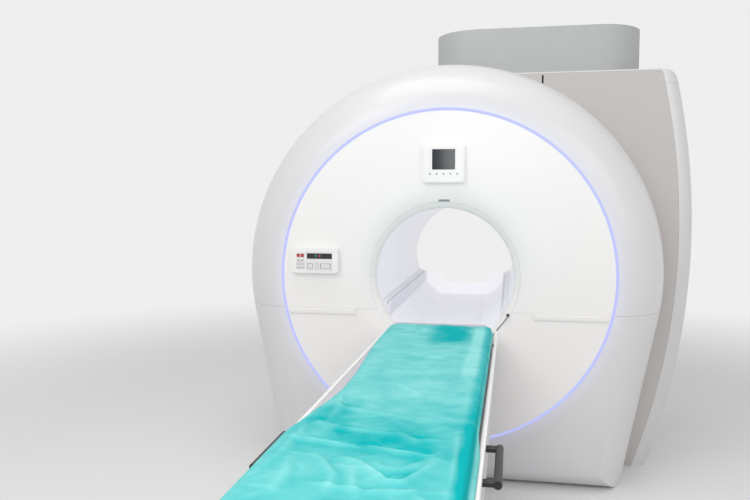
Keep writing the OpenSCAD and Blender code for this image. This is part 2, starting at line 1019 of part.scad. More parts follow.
// A key cap on its stem; the stem's foot rides in the pocket
module panel_key(n) {
    union() {
        panel_plate(key_w, key_h(n), 3, panel_y - key_proud, panel_y + key_t, key_x, key_z(n));
        panel_plate(key_w - 20, key_h(n) - 5, 2, panel_y + key_t, panel_y + 14 - key_travel - seat, key_x, key_z(n));
    }
}

module key_stop() {
    color("red")
        panel_key(0);
}

module key_home() {
    color("lightgray")
        panel_key(1);
}

module key_light() {
    color("lightgray")
        panel_key(2);
}

module key_fan() {
    color("lightgray")
        panel_key(3);
}

// Status display above the bore's mouth
status_w = 210;
status_h = 196;
status_z = 1643;
status_t = 26;

module status_housing() {
    color("white")
        difference() {
            union() {
                panel_plate(status_w, status_h, 16, face_y - status_t + 6, face_y - seat, 0, status_z);
                panel_plate(status_w - 12, status_h - 12, 12, face_y - status_t, face_y - seat, 0, status_z);
            }
            panel_plate(140 + 2 * seat, 102 + 2 * seat, 3, face_y - status_t - 1, face_y - status_t + 5, 0, status_z + 18);
            for (n = [-2 : 2])
                translate([n * 34, face_y - status_t - 1, status_z - 53])
                    rotate([-90, 0, 0])
                        cylinder(h = 5, r = 5 + seat);
        }
}

module status_screen() {
    color([0.08, 0.09, 0.1])
        panel_plate(140, 102, 3, face_y - status_t + 1.5, face_y - status_t + 5 - seat, 0, status_z + 18);
}

module status_lamps() {
    color("seagreen")
        for (n = [-2 : 2])
            translate([n * 34, face_y - status_t - 1, status_z - 53])
                rotate([-90, 0, 0])
                    cylinder(h = 5 - seat, r = 5);
}

// Grommets where the lead leaves and re-enters the covers
grommet_r = 7;
grommet_cone = 6;
grommet_y1 = flare_y0 + 20;

module grommet_holes() {
    for (p = [LEAD[0], LEAD[len(LEAD) - 1]])
        translate([p[0], face_y - 20, p[2]])
            rotate([-90, 0, 0])
                cylinder(h = grommet_y1 - face_y + 30, r = grommet_r + seat, $fn = 48);
}

module lead_grommets() {
    color("black")
        for (p = [LEAD[0], LEAD[len(LEAD) - 1]])
            translate([p[0], p[1], p[2]])
                rotate([-90, 0, 0])
                    union() {
                        cylinder(h = grommet_cone, r1 = lead_d * 0.8, r2 = grommet_r, $fn = 48);
                        translate([0, 0, grommet_cone])
                            cylinder(h = grommet_y1 - p[1] - grommet_cone, r = grommet_r, $fn = 48);
                    }
}

// Free lead swept along its route
function unit(v) = v / norm(v);
function lead_dir(i) = unit(LEAD[min(i + 1, len(LEAD) - 1)] - LEAD[max(i - 1, 0)]);
function lead_side(i) = unit(cross(lead_dir(i), [1, 0.2, 0.1]));
function lead_up(i) = cross(lead_dir(i), lead_side(i));
function lead_ring(i) = [
    for (k = [0 : lead_sides - 1])
        LEAD[i] + lead_d / 2 * (cos(k * 360 / lead_sides) * lead_side(i) + sin(k * 360 / lead_sides) * lead_up(i))
];

module signal_lead() {
    rings = len(LEAD);
    color([0.1, 0.1, 0.1])
        polyhedron(
            [for (i = [0 : rings - 1]) each lead_ring(i)],
            concat(
                [[for (k = [0 : lead_sides - 1]) k]],
                [for (i = [0 : rings - 2], k = [0 : lead_sides - 1])
                    [i * lead_sides + k, (i + 1) * lead_sides + k,
                        (i + 1) * lead_sides + (k + 1) % lead_sides, i * lead_sides + (k + 1) % lead_sides]],
                [[for (k = [lead_sides - 1 : -1 : 0]) (rings - 1) * lead_sides + k]]
            )
        );
}

// Floor plate and lowest shroud of the pedestal
module table_base() {
    color("silver")
        translate([0, lift_mid_y, 0])
            difference() {
                union() {
                    round_block(shroud_w + 140, shroud_l + 20, 60, 0, plate_t);
                    translate([-link_w / 2, 0, 0])
                        cube([link_w, -frame_l / 2 - seat - lift_mid_y, link_t]);
                    round_tube(shroud_w, shroud_l, shroud_r, wall, 0, stage_h[0]);
                }
                for (sx = [-1, 1], sy = [-1, 1])
                    translate([sx * (shroud_w / 2 + 40), sy * (shroud_l / 2 - 100), -1])
                        cylinder(h = plate_t + 2, d = anchor_d);
            }
}

// A pair of telescoping column tubes
module column_pair(r, z0, z1) {
    for (end = [-1, 1])
        translate([0, lift_mid_y + end * column_gap / 2, z0])
            difference() {
                cylinder(h = z1 - z0, r = r);
                translate([0, 0, -1])
                    cylinder(h = z1 - z0 + 2, r = r - column_wall);
            }
}

module column_outer() {
    color("gray")
        column_pair(column_r, plate_t, stage_h[0]);
}

column_mid_r = column_r - column_wall - seat;
column_in_r = column_mid_r - column_wall - seat;
plinth_roof = 10;

module column_mid() {
    color("darkgray")
        column_pair(column_mid_r, stage_low[1], stage_h[1] - bridge_t);
}

module column_inner() {
    color("lightgray")
        column_pair(column_in_r, stage_low[2], carrier_h0 - plinth_roof);
}

// Middle shroud with the bridge plate that its columns carry
module shroud_mid() {
    w = shroud_w + 2 * shroud_step;
    l = shroud_l + 2 * shroud_step;
    color("lightgray")
        translate([0, lift_mid_y, 0])
            difference() {
                union() {
                    round_tube(w, l, shroud_r + shroud_step, wall, stage_low[1], stage_h[1]);
                    round_block(w - wall, l - wall, shroud_r, stage_h[1] - bridge_t, stage_h[1]);
                }
                for (end = [-1, 1])
                    translate([0, end * column_gap / 2, stage_h[1] - bridge_t - 1])
                        cylinder(h = bridge_t + 2, r = column_in_r + 1);
            }
}

module shroud_upper() {
    w = shroud_w + 4 * shroud_step;
    l = shroud_l + 4 * shroud_step;
    color("whitesmoke")
        translate([0, lift_mid_y, 0])
            round_tube(w, l, shroud_r + 2 * shroud_step, wall, stage_low[2], stage_h[2]);
}

// Dark plinth between the pedestal and the carrier
module carrier_plinth() {
    color([0.15, 0.15, 0.16])
        translate([0, lift_mid_y, 0])
            difference() {
                round_block(2 * rail_x - 84, shroud_l + 160, 60, plinth_h0, carrier_h0);
                round_block(shroud_w - 20, shroud_l - 20, 60, plinth_h0 - 1, carrier_h0 - plinth_roof);
            }
}

rail_t = 24;

// Side view of the carrier: its underside rises towards both ends
module carrier_side(i) {
    rise = 60;
    polygon([
        [foot_y + i, deck_h1 - 40], [foot_y + i + 30, carrier_h0 + rise + i], [foot_y + 420, carrier_h0 + i],
        [head_y - 260, carrier_h0 + i], [head_y - 40, carrier_h0 + 30 + i], [head_y - i, carrier_h0 + 60 + i],
        [head_y - i, rail_h - rail_t], [foot_y + i, rail_h - rail_t]
    ]);
}

module along_x(x0, x1) {
    translate([x0, 0, 0])
        rotate([90, 0, 90])
            linear_extrude(x1 - x0)
                children();
}

// Moulded carrier: a long tray with a hollow under its deck
module carrier_body() {
    flange_z = deck_h1 - 2 * deck_t;
    color("lightgray")
        difference() {
            along_x(-carrier_x, carrier_x)
                carrier_side(0);
            intersection() {
                along_x(-carrier_x + carrier_wall, carrier_x - carrier_wall)
                    carrier_side(carrier_wall);
                translate([-big / 2, -big, 0])
                    cube([big, big, flange_z]);
            }
            translate([-tray_x + flange_w, foot_y + flange_w, flange_z - 1])
                cube([2 * (tray_x - flange_w), table_len - 2 * flange_w, 2 * deck_t]);
            run(foot_y - 1, head_y + 1)
                translate([-tray_x, deck_h1 - deck_t])
                    square([2 * tray_x, rail_h]);
        }
}

// Deck with the two running rails and the slot for the drive dog
module carrier_deck() {
    rail_half = 15;
    color("silver")
        difference() {
            union() {
                run(foot_y + 2, head_y - 2)
                    translate([-tray_x + seat, deck_h1 - deck_t])
                        square([2 * (tray_x - seat), deck_t]);
                for (side = [-1, 1])
                    run(foot_y + 2, head_y - 2)
                        translate([side * 120 - rail_half, deck_h1 - 1])
                            square([2 * rail_half, run_h - seat - deck_h1 + 1]);
            }
            translate([-dog_w / 2 - 4, dog_y - 20, deck_h1 - deck_t - 1])
                cube([dog_w + 8, slide_travel + dog_l + 40, 2 * deck_t]);
        }
}

// White rail along each side of the carrier
module side_rail() {
    r = 5;
    run(foot_y, head_y)
        union() {
            translate([rail_x - rail_w, rail_h - rail_t])
                square([rail_w, rail_t - r]);
            for (x = [rail_x - rail_w + r, rail_x - r])
                translate([x, rail_h - r])
                    circle(r, $fn = 48);
            translate([rail_x - rail_w + r, rail_h - r])
                square([rail_w - 2 * r, r]);
        }
}

module side_rail_right() {
    color("white")
        side_rail();
}

module side_rail_left() {
    color("white")
        mirror([1, 0, 0])
            side_rail();
}

// Black grip bar on two posts
grip_y = foot_y + 660;
grip_z = 781;
grip_x = rail_x + 36;

module side_grip() {
    post_y = grip_len / 2 - grip_d / 2;
    union() {
        translate([grip_x, grip_y - grip_len / 2, grip_z])
            rotate([-90, 0, 0])
                cylinder(h = grip_len, d = grip_d);
        for (end = [-1, 1])
            translate([carrier_x + seat, grip_y + end * post_y, grip_z])
                rotate([0, 90, 0])
                    cylinder(h = grip_x - carrier_x - seat, d = grip_d - 2);
    }
}

module side_grip_right() {
    color([0.08, 0.08, 0.09])
        side_grip();
}

module side_grip_left() {
    color([0.08, 0.08, 0.09])
        mirror([1, 0, 0])
            side_grip();
}

// Closed linear drive under the deck, and its gear motor
dog_w = 20;
dog_l = 60;
dog_y = top_foot_y + 290;
beam_y0 = dog_y - 60;
beam_y1 = dog_y + slide_travel + dog_l + 60;
beam_top = deck_h1 - deck_t - seat;
beam_w = 60;
beam_h = 42;

module drive_beam() {
    slot_w = 8;
    slot_d = 10;
    color("silver")
        run(beam_y0, beam_y1)
            difference() {
                translate([-beam_w / 2, beam_top - beam_h])
                    square([beam_w, beam_h]);
                for (side = [-1, 1])
                    translate([side * (beam_w / 2 - slot_d / 2), beam_top - beam_h / 2])
                        square([slot_d + 0.2, slot_w], center = true);
            }
}

module drive_motor() {
    motor_r = 18;
    gear_l = 70;
    gear_h = 38;
    motor_l = 170;
    motor_z = beam_top - beam_h - seat - gear_h / 2;
    color("dimgray")
        union() {
            translate([-beam_w / 2, beam_y1 - gear_l, motor_z - gear_h / 2])
                cube([beam_w, gear_l, gear_h]);
            translate([0, beam_y1 - gear_l + 1, motor_z])
                rotate([90, 0, 0])
                    cylinder(h = motor_l, r = motor_r);
        }
}

// Section of the moving tabletop: a shallow trough
rim_w = 12;
rim_h = 18;
slope_w = 50;
slope_h = 12;
trough_x = 100;
trough_h = run_h + 26;
belly_x = 150;
belly_w = 46;
top_corner = 70;

module top_section() {
    polygon([
        [-top_x, top_edge_h], [-top_x, top_edge_h - rim_h], [-top_x + belly_w, run_h + slope_h], [-belly_x, run_h],
        [belly_x, run_h], [top_x - belly_w, run_h + slope_h], [top_x, top_edge_h - rim_h], [top_x, top_edge_h],
        [top_x - rim_w, top_edge_h], [top_x - slope_w, trough_h + slope_h], [trough_x, trough_h],
        [-trough_x, trough_h], [-top_x + slope_w, trough_h + slope_h], [-top_x + rim_w, top_edge_h]
    ]);
}

module tabletop() {
    color("white")
        intersection() {
            run(top_foot_y, top_head_y)
                top_section();
            translate([0, (top_foot_y + top_head_y) / 2, 0])
                round_block(2 * top_x, top_head_y - top_foot_y, top_corner, 0, 2 * run_h);
        }
}

// Bracket that ties the tabletop to the drive's carriage
module drive_dog() {
    color("gray")
        translate([-dog_w / 2, dog_y, beam_top + seat])
            cube([dog_w, dog_l, run_h - beam_top - 2 * seat]);
}

// Mattress lying in the trough, a little wider than the tabletop
pad_side = 6;

module mattress() {
    color("slategray")
        intersection() {
            run(top_foot_y + 20, top_head_y - 40)
                polygon([
                    [-pad_x, top_edge_h + seat], [-pad_x + pad_side, pad_top_h], [pad_x - pad_side, pad_top_h],
                    [pad_x, top_edge_h + seat], [top_x - rim_w, top_edge_h + seat],
                    [top_x - slope_w, trough_h + slope_h + 2 * seat], [trough_x, trough_h + seat],
                    [-trough_x, trough_h + seat], [-top_x + slope_w, trough_h + slope_h + 2 * seat],
                    [-top_x + rim_w, top_edge_h + seat]
                ]);
            translate([0, (top_foot_y + top_head_y - 20) / 2, 0])
                round_block(2 * pad_x, top_head_y - top_foot_y - 60, top_corner - 10, 0, 2 * run_h);
        }
}

// Cover sheet lying over the mattress
module cover_sheet() {
    color("mediumturquoise")
        run(top_foot_y + 25, top_head_y - sheet_back)
            polygon([
                [-pad_x - seat - sheet_t, top_edge_h + seat], [-pad_x + pad_side - 2 * seat, pad_top_h + seat + sheet_t],
                [pad_x - pad_side + 2 * seat, pad_top_h + seat + sheet_t], [pad_x + seat + sheet_t, top_edge_h + seat],
                [pad_x + seat, top_edge_h + seat], [pad_x - pad_side + seat, pad_top_h + seat],
                [-pad_x + pad_side - seat, pad_top_h + seat], [-pad_x - seat, top_edge_h + seat]
            ]);
}

base_frame();
magnet_vessel();
gradient_coil();
body_coil();
bore_liner();
flare_upper();
flare_lower();
rear_flare();
bore_bridge();
bore_ledge_left();
bore_ledge_right();
rear_sill();
cover_frame();
light_channel();
light_ring();
disc_upper();
disc_lower();
ring_upper();
ring_lower_left();
ring_lower_right();
flank_left();
flank_right();
fascia();
roof_deck();
rear_cover();
roof_cover();
magnet_turret();
cold_head();
laser_window();
panel_housing();
panel_display();
key_stop();
key_home();
key_light();
key_fan();
panel_labels();
status_housing();
status_screen();
status_lamps();
lead_grommets();
signal_lead();
table_base();
column_outer();
shroud_mid();
column_mid();
shroud_upper();
column_inner();
carrier_plinth();
carrier_body();
carrier_deck();
side_rail_left();
side_rail_right();
side_grip_left();
side_grip_right();
drive_motor();
drive_beam();
tabletop();
drive_dog();
mattress();
cover_sheet();
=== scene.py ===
"""Looks of a closed-bore scanner and its patient table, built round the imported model.

Every length is in metres and every place is in the model's own frame: X to the right,
Y along the bore towards the back, Z up, with the origin on the floor below the isocentre.
"""

import json
import logging
import math
import random
from collections.abc import Iterator
from contextlib import contextmanager
from dataclasses import dataclass, field
from enum import Enum

import bmesh
import bpy
import numpy as np
from bpy.types import ID, Material, Mesh, Node, NodeOutputs, NodeSocket, NodeTree, Object, Scene
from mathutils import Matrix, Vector

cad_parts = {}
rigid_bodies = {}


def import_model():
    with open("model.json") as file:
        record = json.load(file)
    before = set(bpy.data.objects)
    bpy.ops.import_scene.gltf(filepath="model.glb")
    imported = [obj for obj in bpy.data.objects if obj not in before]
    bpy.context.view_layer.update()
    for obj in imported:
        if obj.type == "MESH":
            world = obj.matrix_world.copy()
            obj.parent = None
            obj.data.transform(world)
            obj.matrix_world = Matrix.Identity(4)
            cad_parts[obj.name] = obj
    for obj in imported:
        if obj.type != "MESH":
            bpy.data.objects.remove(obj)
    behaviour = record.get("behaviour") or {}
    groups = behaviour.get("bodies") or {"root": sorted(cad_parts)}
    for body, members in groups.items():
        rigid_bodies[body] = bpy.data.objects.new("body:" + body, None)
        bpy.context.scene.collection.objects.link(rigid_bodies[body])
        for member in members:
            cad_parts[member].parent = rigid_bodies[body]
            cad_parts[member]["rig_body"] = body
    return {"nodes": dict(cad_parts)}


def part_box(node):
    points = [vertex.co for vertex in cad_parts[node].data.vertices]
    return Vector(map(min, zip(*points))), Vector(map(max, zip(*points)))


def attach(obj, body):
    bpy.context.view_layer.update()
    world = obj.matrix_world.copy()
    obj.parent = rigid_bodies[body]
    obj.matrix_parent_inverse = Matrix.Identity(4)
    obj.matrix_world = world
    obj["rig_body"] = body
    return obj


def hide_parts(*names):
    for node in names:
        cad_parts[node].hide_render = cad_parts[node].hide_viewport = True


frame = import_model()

LOG = logging.getLogger("scanner")

Colour = tuple[float, float, float]
Point = tuple[float, float, float]
Pair = tuple[float, float]
Bend = tuple[float, float, float, float]
Inputs = dict[str | int, object]

AXIS_H = 1.07  # height of the bore's axis
LIGHT_R = 0.84  # radius of the light ring
LIGHT_HALO = 0.075  # how far its glow reaches into the cover beside it
GLOW_TINT: Colour = (0.36, 0.42, 1.0)
COAT_ROUGHNESS = 0.08
BUMP_DEPTH = 0.001
HANDLING_RISE = 1.12  # how much rougher a surface is where it is handled
HANDLING_SCALE = 0.6
WEAVE_WANDER = 0.6
OCTAVES = 3.0
BRUSH_STRETCH = 0.02
PAINTED_SHADING_GRAIN = 0.16  # how far the grain shifts the painted light and shade of the cloth's folds
NOISE_SPAN: Pair = (0.3, 0.7)  # the part of the noise's range that it spreads
MERGE_GAP = 2e-5
SMALLEST_EDGE = 1e-6
SOLID_DEG = 35.0  # up to here the edges of a new solid are smooth
TWIN_DEG = 32.0  # and those of a CAD node's twin
ALL_SMOOTH_DEG = 180.0
BEVEL_STEPS = 3
CORNER_STEPS = 5  # points on a plate's rounded corner
PLATE_EDGE = 0.001  # the most that a plate's front edge is drawn in
PLATE_EDGE_SHARE = 0.6
HEAD_FOOT = 0.5  # radius of a screw's head at its foot and at its top, by its width
HEAD_TOP = 0.44
LINE_SIDES = 6
TO_FRONT: Point = (math.pi / 2, 0.0, 0.0)
TO_FRONT_SQUARE: Point = (math.pi / 2, -math.pi / 4, 0.0)
TO_BACK: Point = (-math.pi / 2, 0.0, 0.0)
FOLD_TAPER = 0.7
HOLLOW_AT = 1.7  # how many of its widths a fold's hollow lies beside it


class Grain(Enum):
    """How a finish is broken up close by: its features in a metre."""

    SMOOTH = 3.0
    WOVEN = 260.0
    LEATHER = 420.0
    MOULDED = 650.0
    BRUSHED = 900.0


def fill(tree: NodeTree, node: Node, inputs: Inputs) -> None:
    """Sets a node's inputs, or links them.

    Args:
        tree: the node tree.
        node: the node.
        inputs: a value, or the socket that feeds it, for each input by name or number.
    """
    for key, value in inputs.items():
        if isinstance(value, NodeSocket):
            tree.links.new(value, node.inputs[key])
        else:
            node.inputs[key].default_value = value


def add(tree: NodeTree, kind: str, output: str, inputs: Inputs, **options: object) -> NodeSocket:
    """Adds a node to a tree.

    Args:
        tree: the node tree.
        kind: the node's type.
        output: the output that is wanted.
        inputs: what its inputs hold, as fill takes them.
        **options: its options, set before its inputs.

    Returns:
        The node's output.
    """
    node = tree.nodes.new(kind)
    for name, value in options.items():
        setattr(node, name, value)
    fill(tree, node, inputs)
    return node.outputs[output]


@dataclass(frozen=True)
class Finish:
    """One procedural finish, built once and shared by the pieces that wear it."""

    name: str
    colour: Colour
    roughness: float = 0.4
    metallic: float = 0.0
    coat: float = 0.0
    grain: Grain = Grain.SMOOTH
    mottle: float = 0.02
    bump: float = 0.05
    scale: float = 9.0
    specular: float = 0.5
    shade: Colour | None = None
    glow: float = 0.0
    tint: Colour = (1.0, 1.0, 1.0)
    halo: float = 0.0
    # the point attribute that holds a cloth's painted light and shade, if any
    painted_shading: str = ""

    def build(self) -> Material:
        """Gives the node material, which is built at the first call.

        Returns:
            The finished material.
        """
        name = self.name + "_finish"
        material = bpy.data.materials.get(name)
        if material is None:
            material = bpy.data.materials.new(name)
            material.use_nodes = True
            Surface(self, material.node_tree).build()
            if self.glow or self.halo:
                material.cycles.emission_sampling = "NONE"
        return material


class Surface:
    """The nodes of one finish."""

    def __init__(self, finish: Finish, tree: NodeTree) -> None:
        """Starts the nodes.

        Args:
            finish: the finish.
            tree: its material's node tree.
        """
        self.finish = finish
        self.tree = tree
        self.place = tree.nodes.new("ShaderNodeTexCoord").outputs["Object"]

    def build(self) -> None:
        """Feeds every input of the shader that the finish sets."""
        finish = self.finish
        wanted = {
            "Base Color": self.colour(), "Roughness": self.roughness(), "Normal": self.relief(),
            "Metallic": finish.metallic, "Coat Weight": finish.coat, "Coat Roughness": COAT_ROUGHNESS,
            "Specular IOR Level": finish.specular,
        }
        if finish.glow:
            wanted |= {"Emission Color": (*finish.tint, 1), "Emission Strength": finish.glow}
        if finish.halo:
            wanted |= {"Emission Color": self.halo(), "Emission Strength": 1.0}
        fill(self.tree, self.tree.nodes["Principled BSDF"], wanted)

    def node(self, kind: str, output: str, inputs: Inputs, **options: object) -> NodeSocket:
        """Adds a node to the finish, as add does."""
        return add(self.tree, kind, output, inputs, **options)

    def noise(self, place: NodeSocket, scale: float, detail: float = OCTAVES) -> NodeSocket:
        """Noise from 0 to 1 with so many features in a metre and so many octaves."""
        return self.node("ShaderNodeTexNoise", "Fac", {"Vector": place, "Scale": scale, "Detail": detail})

    def colour(self) -> NodeSocket:
        """The base colour with its soft mottle.

        Returns:
            The colour socket.
        """
        finish = self.finish
        low = finish.shade or tuple(max(0.0, c * (1 - finish.mottle)) for c in finish.colour)
        high = tuple(min(1.0, c * (1 + finish.mottle)) for c in finish.colour)
        share = self.noise(self.place, finish.scale)
        # on the cloth the colour follows its painted light and shade, with the mottle laid over it
        if finish.painted_shading:
            share = self.painted_light_share(share)
        return self.node("ShaderNodeMix", "Result", {"A": (*low, 1), "B": (*high, 1), "Factor": share},
                         data_type="RGBA")

    def painted_light_share(self, share: NodeSocket) -> NodeSocket:
        """Turns a noise into the cloth's painted light and shade, which follow its folds.

        Args:
            share: the noise.

        Returns:
            The share of the light colour.
        """
        folds = self.node("ShaderNodeAttribute", "Fac", {}, attribute_name=self.finish.painted_shading)
        grain = self.node("ShaderNodeMapRange", "Result", {
            "Value": share, "From Min": NOISE_SPAN[0], "From Max": NOISE_SPAN[1],
            "To Min": -PAINTED_SHADING_GRAIN, "To Max": PAINTED_SHADING_GRAIN,
        })
        return self.node("ShaderNodeMath", "Value", {0: folds, 1: grain}, use_clamp=True)

    def roughness(self) -> NodeSocket:
        """The roughness with its handling marks.

        Returns:
            The roughness socket.
        """
        least = self.finish.roughness
        marks = self.noise(self.place, self.finish.scale * HANDLING_SCALE, 1.0)
        return self.node("ShaderNodeMapRange", "Result",
                         {"Value": marks, "To Min": least, "To Max": least * HANDLING_RISE})

    def relief(self) -> NodeSocket:
        """The fine relief of the grain.

        Returns:
            The normal socket.
        """
        grain, place = self.finish.grain, self.place
        if grain is Grain.WOVEN:
            threads = [
                self.node("ShaderNodeTexWave", "Fac",
                          {"Vector": place, "Scale": grain.value, "Distortion": WEAVE_WANDER},
                          bands_direction=direction)
                for direction in ("X", "Y")
            ]
            height = self.node("ShaderNodeMath", "Value", {0: threads[0], 1: threads[1]})
        elif grain is Grain.LEATHER:
            height = self.node("ShaderNodeTexVoronoi", "Distance", {"Vector": place, "Scale": grain.value})
        else:
            if grain is Grain.BRUSHED:
                place = self.node("ShaderNodeMapping", "Vector",
                                  {"Vector": place, "Scale": (1.0, BRUSH_STRETCH, 1.0)})
            height = self.noise(place, grain.value, 0.0 if grain is Grain.SMOOTH else OCTAVES)
        return self.node("ShaderNodeBump", "Normal",
                         {"Strength": self.finish.bump, "Distance": BUMP_DEPTH, "Height": height})

    def halo(self) -> NodeSocket:
        """A bluish glow in the cover beside the light ring.

        Returns:
            The glow's colour socket.
        """
        vector = "ShaderNodeVectorMath"
        centre = self.node(vector, "Vector", {0: self.place, 1: (0.0, 0.0, AXIS_H)}, operation="SUBTRACT")
        flat = self.node(vector, "Vector", {0: centre, 1: (1.0, 0.0, 1.0)}, operation="MULTIPLY")
        radius = self.node(vector, "Value", {0: flat}, operation="LENGTH")
        fade = self.node("ShaderNodeMapRange", "Result", {
            "Value": radius, "From Min": LIGHT_R, "From Max": LIGHT_R + LIGHT_HALO,
            "To Min": self.finish.halo, "To Max": 0.0,
        }, interpolation_type="SMOOTHERSTEP")
        return self.node(vector, "Vector", {0: GLOW_TINT, "Scale": fade}, operation="SCALE")


WHITE = Finish("gloss_white", (0.875, 0.863, 0.852), 0.38, coat=0.05, mottle=0.008, specular=0.4)
SOFT_GREY = Finish("bezel_grey", (0.695, 0.69, 0.705), 0.32, coat=0.25, mottle=0.010, halo=0.10)
BODY_GREY = Finish("body_grey", (0.655, 0.655, 0.66), 0.32, coat=0.15, mottle=0.015)
TAUPE = Finish("gloss_taupe", (0.520, 0.493, 0.475), 0.16, coat=0.4, mottle=0.015)
ROOF = Finish("roof_grey", (0.420, 0.440, 0.432), 0.5, grain=Grain.MOULDED, bump=0.15)
# The bore's liner, ledges and sill glow a little: painted light, standing in for the light that falls inside
# the bore.
LINER_PAINTED_LIGHT = Finish("liner_white", (0.77, 0.77, 0.80), 0.34, coat=0.2, mottle=0.008, glow=0.18,
               tint=(0.94, 0.94, 1.0))
LEDGE_PAINTED_LIGHT = Finish("ledge_white_painted_light", (0.75, 0.755, 0.80), 0.34, coat=0.2, mottle=0.008, glow=0.07,
               tint=(0.88, 0.92, 1.0))
SILL_PAINTED_LIGHT = Finish("sill_white_painted_light", (0.86, 0.86, 0.875), 0.34, coat=0.2, mottle=0.008, glow=0.33,
              tint=(1.0, 0.99, 0.99))
GLOW = Finish("ring_light", (0.10, 0.10, 0.16), 0.4, glow=1.0, tint=(0.42, 0.46, 0.84))
STEEL = Finish("painted_steel", (0.44, 0.46, 0.48), 0.4, grain=Grain.MOULDED, bump=0.2)
DARK_STEEL = Finish("dark_steel", (0.06, 0.065, 0.07), 0.45, grain=Grain.MOULDED, bump=0.25)
ALUMINIUM = Finish("aluminium", (0.62, 0.63, 0.65), 0.35, metallic=1.0, grain=Grain.BRUSHED, bump=0.1)
RESIN = Finish("coil_resin", (0.45, 0.28, 0.13), 0.5)
COPPER = Finish("coil_copper", (0.75, 0.38, 0.18), 0.3, metallic=1.0)
SCREEN = Finish("dark_display", (0.012, 0.013, 0.016), 0.28, coat=0.15)
STATUS_GLASS = Finish("status_display", (0.010, 0.017, 0.022), 0.10, specular=0.35)
WINDOW = Finish("smoked_window", (0.30, 0.315, 0.31), 0.2, coat=0.4)
RED = Finish("red_key", (0.42, 0.022, 0.022), 0.35, grain=Grain.MOULDED)
KEY = Finish("grey_key", (0.62, 0.62, 0.625), 0.45, grain=Grain.MOULDED)
LEGEND = Finish("legend_grey", (0.22, 0.225, 0.235), 0.5)
LAMP = Finish("green_lamp", (0.30, 0.42, 0.36), 0.25, glow=0.10, tint=(0.2, 0.9, 0.45))
DIM_GREEN = Finish("dim_green", (0.03, 0.10, 0.07), 0.2, glow=0.10, tint=(0.15, 0.8, 0.5))
RED_LAMP = Finish("red_lamp", (0.30, 0.02, 0.05), 0.25, glow=0.30, tint=(0.9, 0.15, 0.25))
RUBBER = Finish("black_rubber", (0.012, 0.012, 0.013), 0.6, grain=Grain.MOULDED, bump=0.3)
CABLE = Finish("cable_jacket", (0.05, 0.05, 0.055), 0.5, grain=Grain.MOULDED)
TABLE_WHITE = Finish("table_white", (0.93, 0.93, 0.925), 0.25, coat=0.2, mottle=0.010)
TABLE_GREY = Finish("table_grey", (0.58, 0.58, 0.585), 0.4, grain=Grain.MOULDED, bump=0.12)
BLACK = Finish("black_plastic", (0.014, 0.014, 0.016), 0.4, grain=Grain.MOULDED, bump=0.2)
VINYL = Finish("pad_vinyl", (0.54, 0.52, 0.56), 0.45, grain=Grain.LEATHER, bump=0.35)
# The sheet's colour runs from its shade colour in painted shade to its light colour in painted light.
SHEET = Finish("sheet_turquoise", (0.30, 0.75, 0.73), 0.8, grain=Grain.WOVEN, bump=0.25,
               shade=(0.001, 0.43, 0.45), scale=11.0, specular=0.06, painted_shading="painted_shading")
PLATE_GREY = Finish("plate_grey", (0.76, 0.76, 0.762), 0.35, coat=0.2, mottle=0.01)
KEY_MARK = Finish("key_mark", (0.42, 0.42, 0.38), 0.5)
STAINLESS = Finish("stainless_head", (0.55, 0.56, 0.57), 0.3, metallic=1.0, grain=Grain.BRUSHED, bump=0.1)
FLOOR = Finish("pale_floor", (0.86, 0.86, 0.865), 0.5, mottle=0.01)


def stand(name: str, data: ID) -> Object:
    """Makes an object of some data and links it to the scene.

    Args:
        name: the object's name.
        data: its mesh, curve, lamp or camera.

    Returns:
        The object.
    """
    piece = bpy.data.objects.new(name, data)
    bpy.context.scene.collection.objects.link(piece)
    return piece


@contextmanager
def reworked(mesh: Mesh) -> Iterator[bmesh.types.BMesh]:
    """Opens a mesh for editing and writes it back afterwards.

    Args:
        mesh: the mesh.

    Yields:
        The mesh in its editable form.
    """
    work = bmesh.new()
    work.from_mesh(mesh)
    yield work
    work.to_mesh(mesh)
    work.free()


def shade(mesh: Mesh, smooth_deg: float) -> None:
    """Shades a mesh smooth, with sharp edges above an angle."""
    mesh.shade_smooth()
    mesh.set_sharp_from_angle(angle=math.radians(smooth_deg))


def dressed(name: str, mesh: Mesh, finish: Finish, smooth_deg: float) -> Object:
    """Links a mesh under a name with its finish and smooth shading.

    Args:
        name: the object's name.
        mesh: its mesh.
        finish: the finish it wears.
        smooth_deg: the angle up to which edges are smooth.

    Returns:
        The object, linked to the scene.
    """
    mesh.materials.clear()
    mesh.materials.append(finish.build())
    shade(mesh, smooth_deg)
    return stand(name, mesh)


def solid(name: str, verts: list[Point], faces: list[tuple[int, ...]], finish: Finish,
          smooth_deg: float = SOLID_DEG) -> Object:
    """Makes a mesh object with one finish.

    Args:
        name: the object's name.
        verts: its points in the frame.
        faces: its faces as indices.
        finish: the finish it wears.
        smooth_deg: the angle up to which edges are smooth.

    Returns:
        The object, linked to the scene.
    """
    mesh = bpy.data.meshes.new(name)
    mesh.from_pydata(verts, [], faces)
    mesh.validate()
    return dressed(name, mesh, finish, smooth_deg)


def twin(node: str, finish: Finish, bevel: float = 0.0) -> Object:
    """A merged and smoothly shaded copy of a CAD node, which it replaces.

    Args:
        node: the CAD node's name.
        finish: the finish it wears.
        bevel: the width of its softened edges, or 0 for none.

    Returns:
        The twin, riding on the node's body.
    """
    mesh = frame["nodes"][node].data.copy()
    with reworked(mesh) as work:
        bmesh.ops.remove_doubles(work, verts=work.verts, dist=MERGE_GAP)
        bmesh.ops.dissolve_degenerate(work, edges=work.edges, dist=SMALLEST_EDGE)
        for edge in work.edges:
            edge.smooth = True
    for layer in list(mesh.uv_layers):
        mesh.uv_layers.remove(layer)
    imported = mesh.attributes.get("custom_normal")
    if imported is not None:
        mesh.attributes.remove(imported)
    piece = dressed(node + "_skin", mesh, finish, TWIN_DEG)
    if bevel:
        soften(piece, bevel)
    settle(piece, body_of(node), node)
    return piece


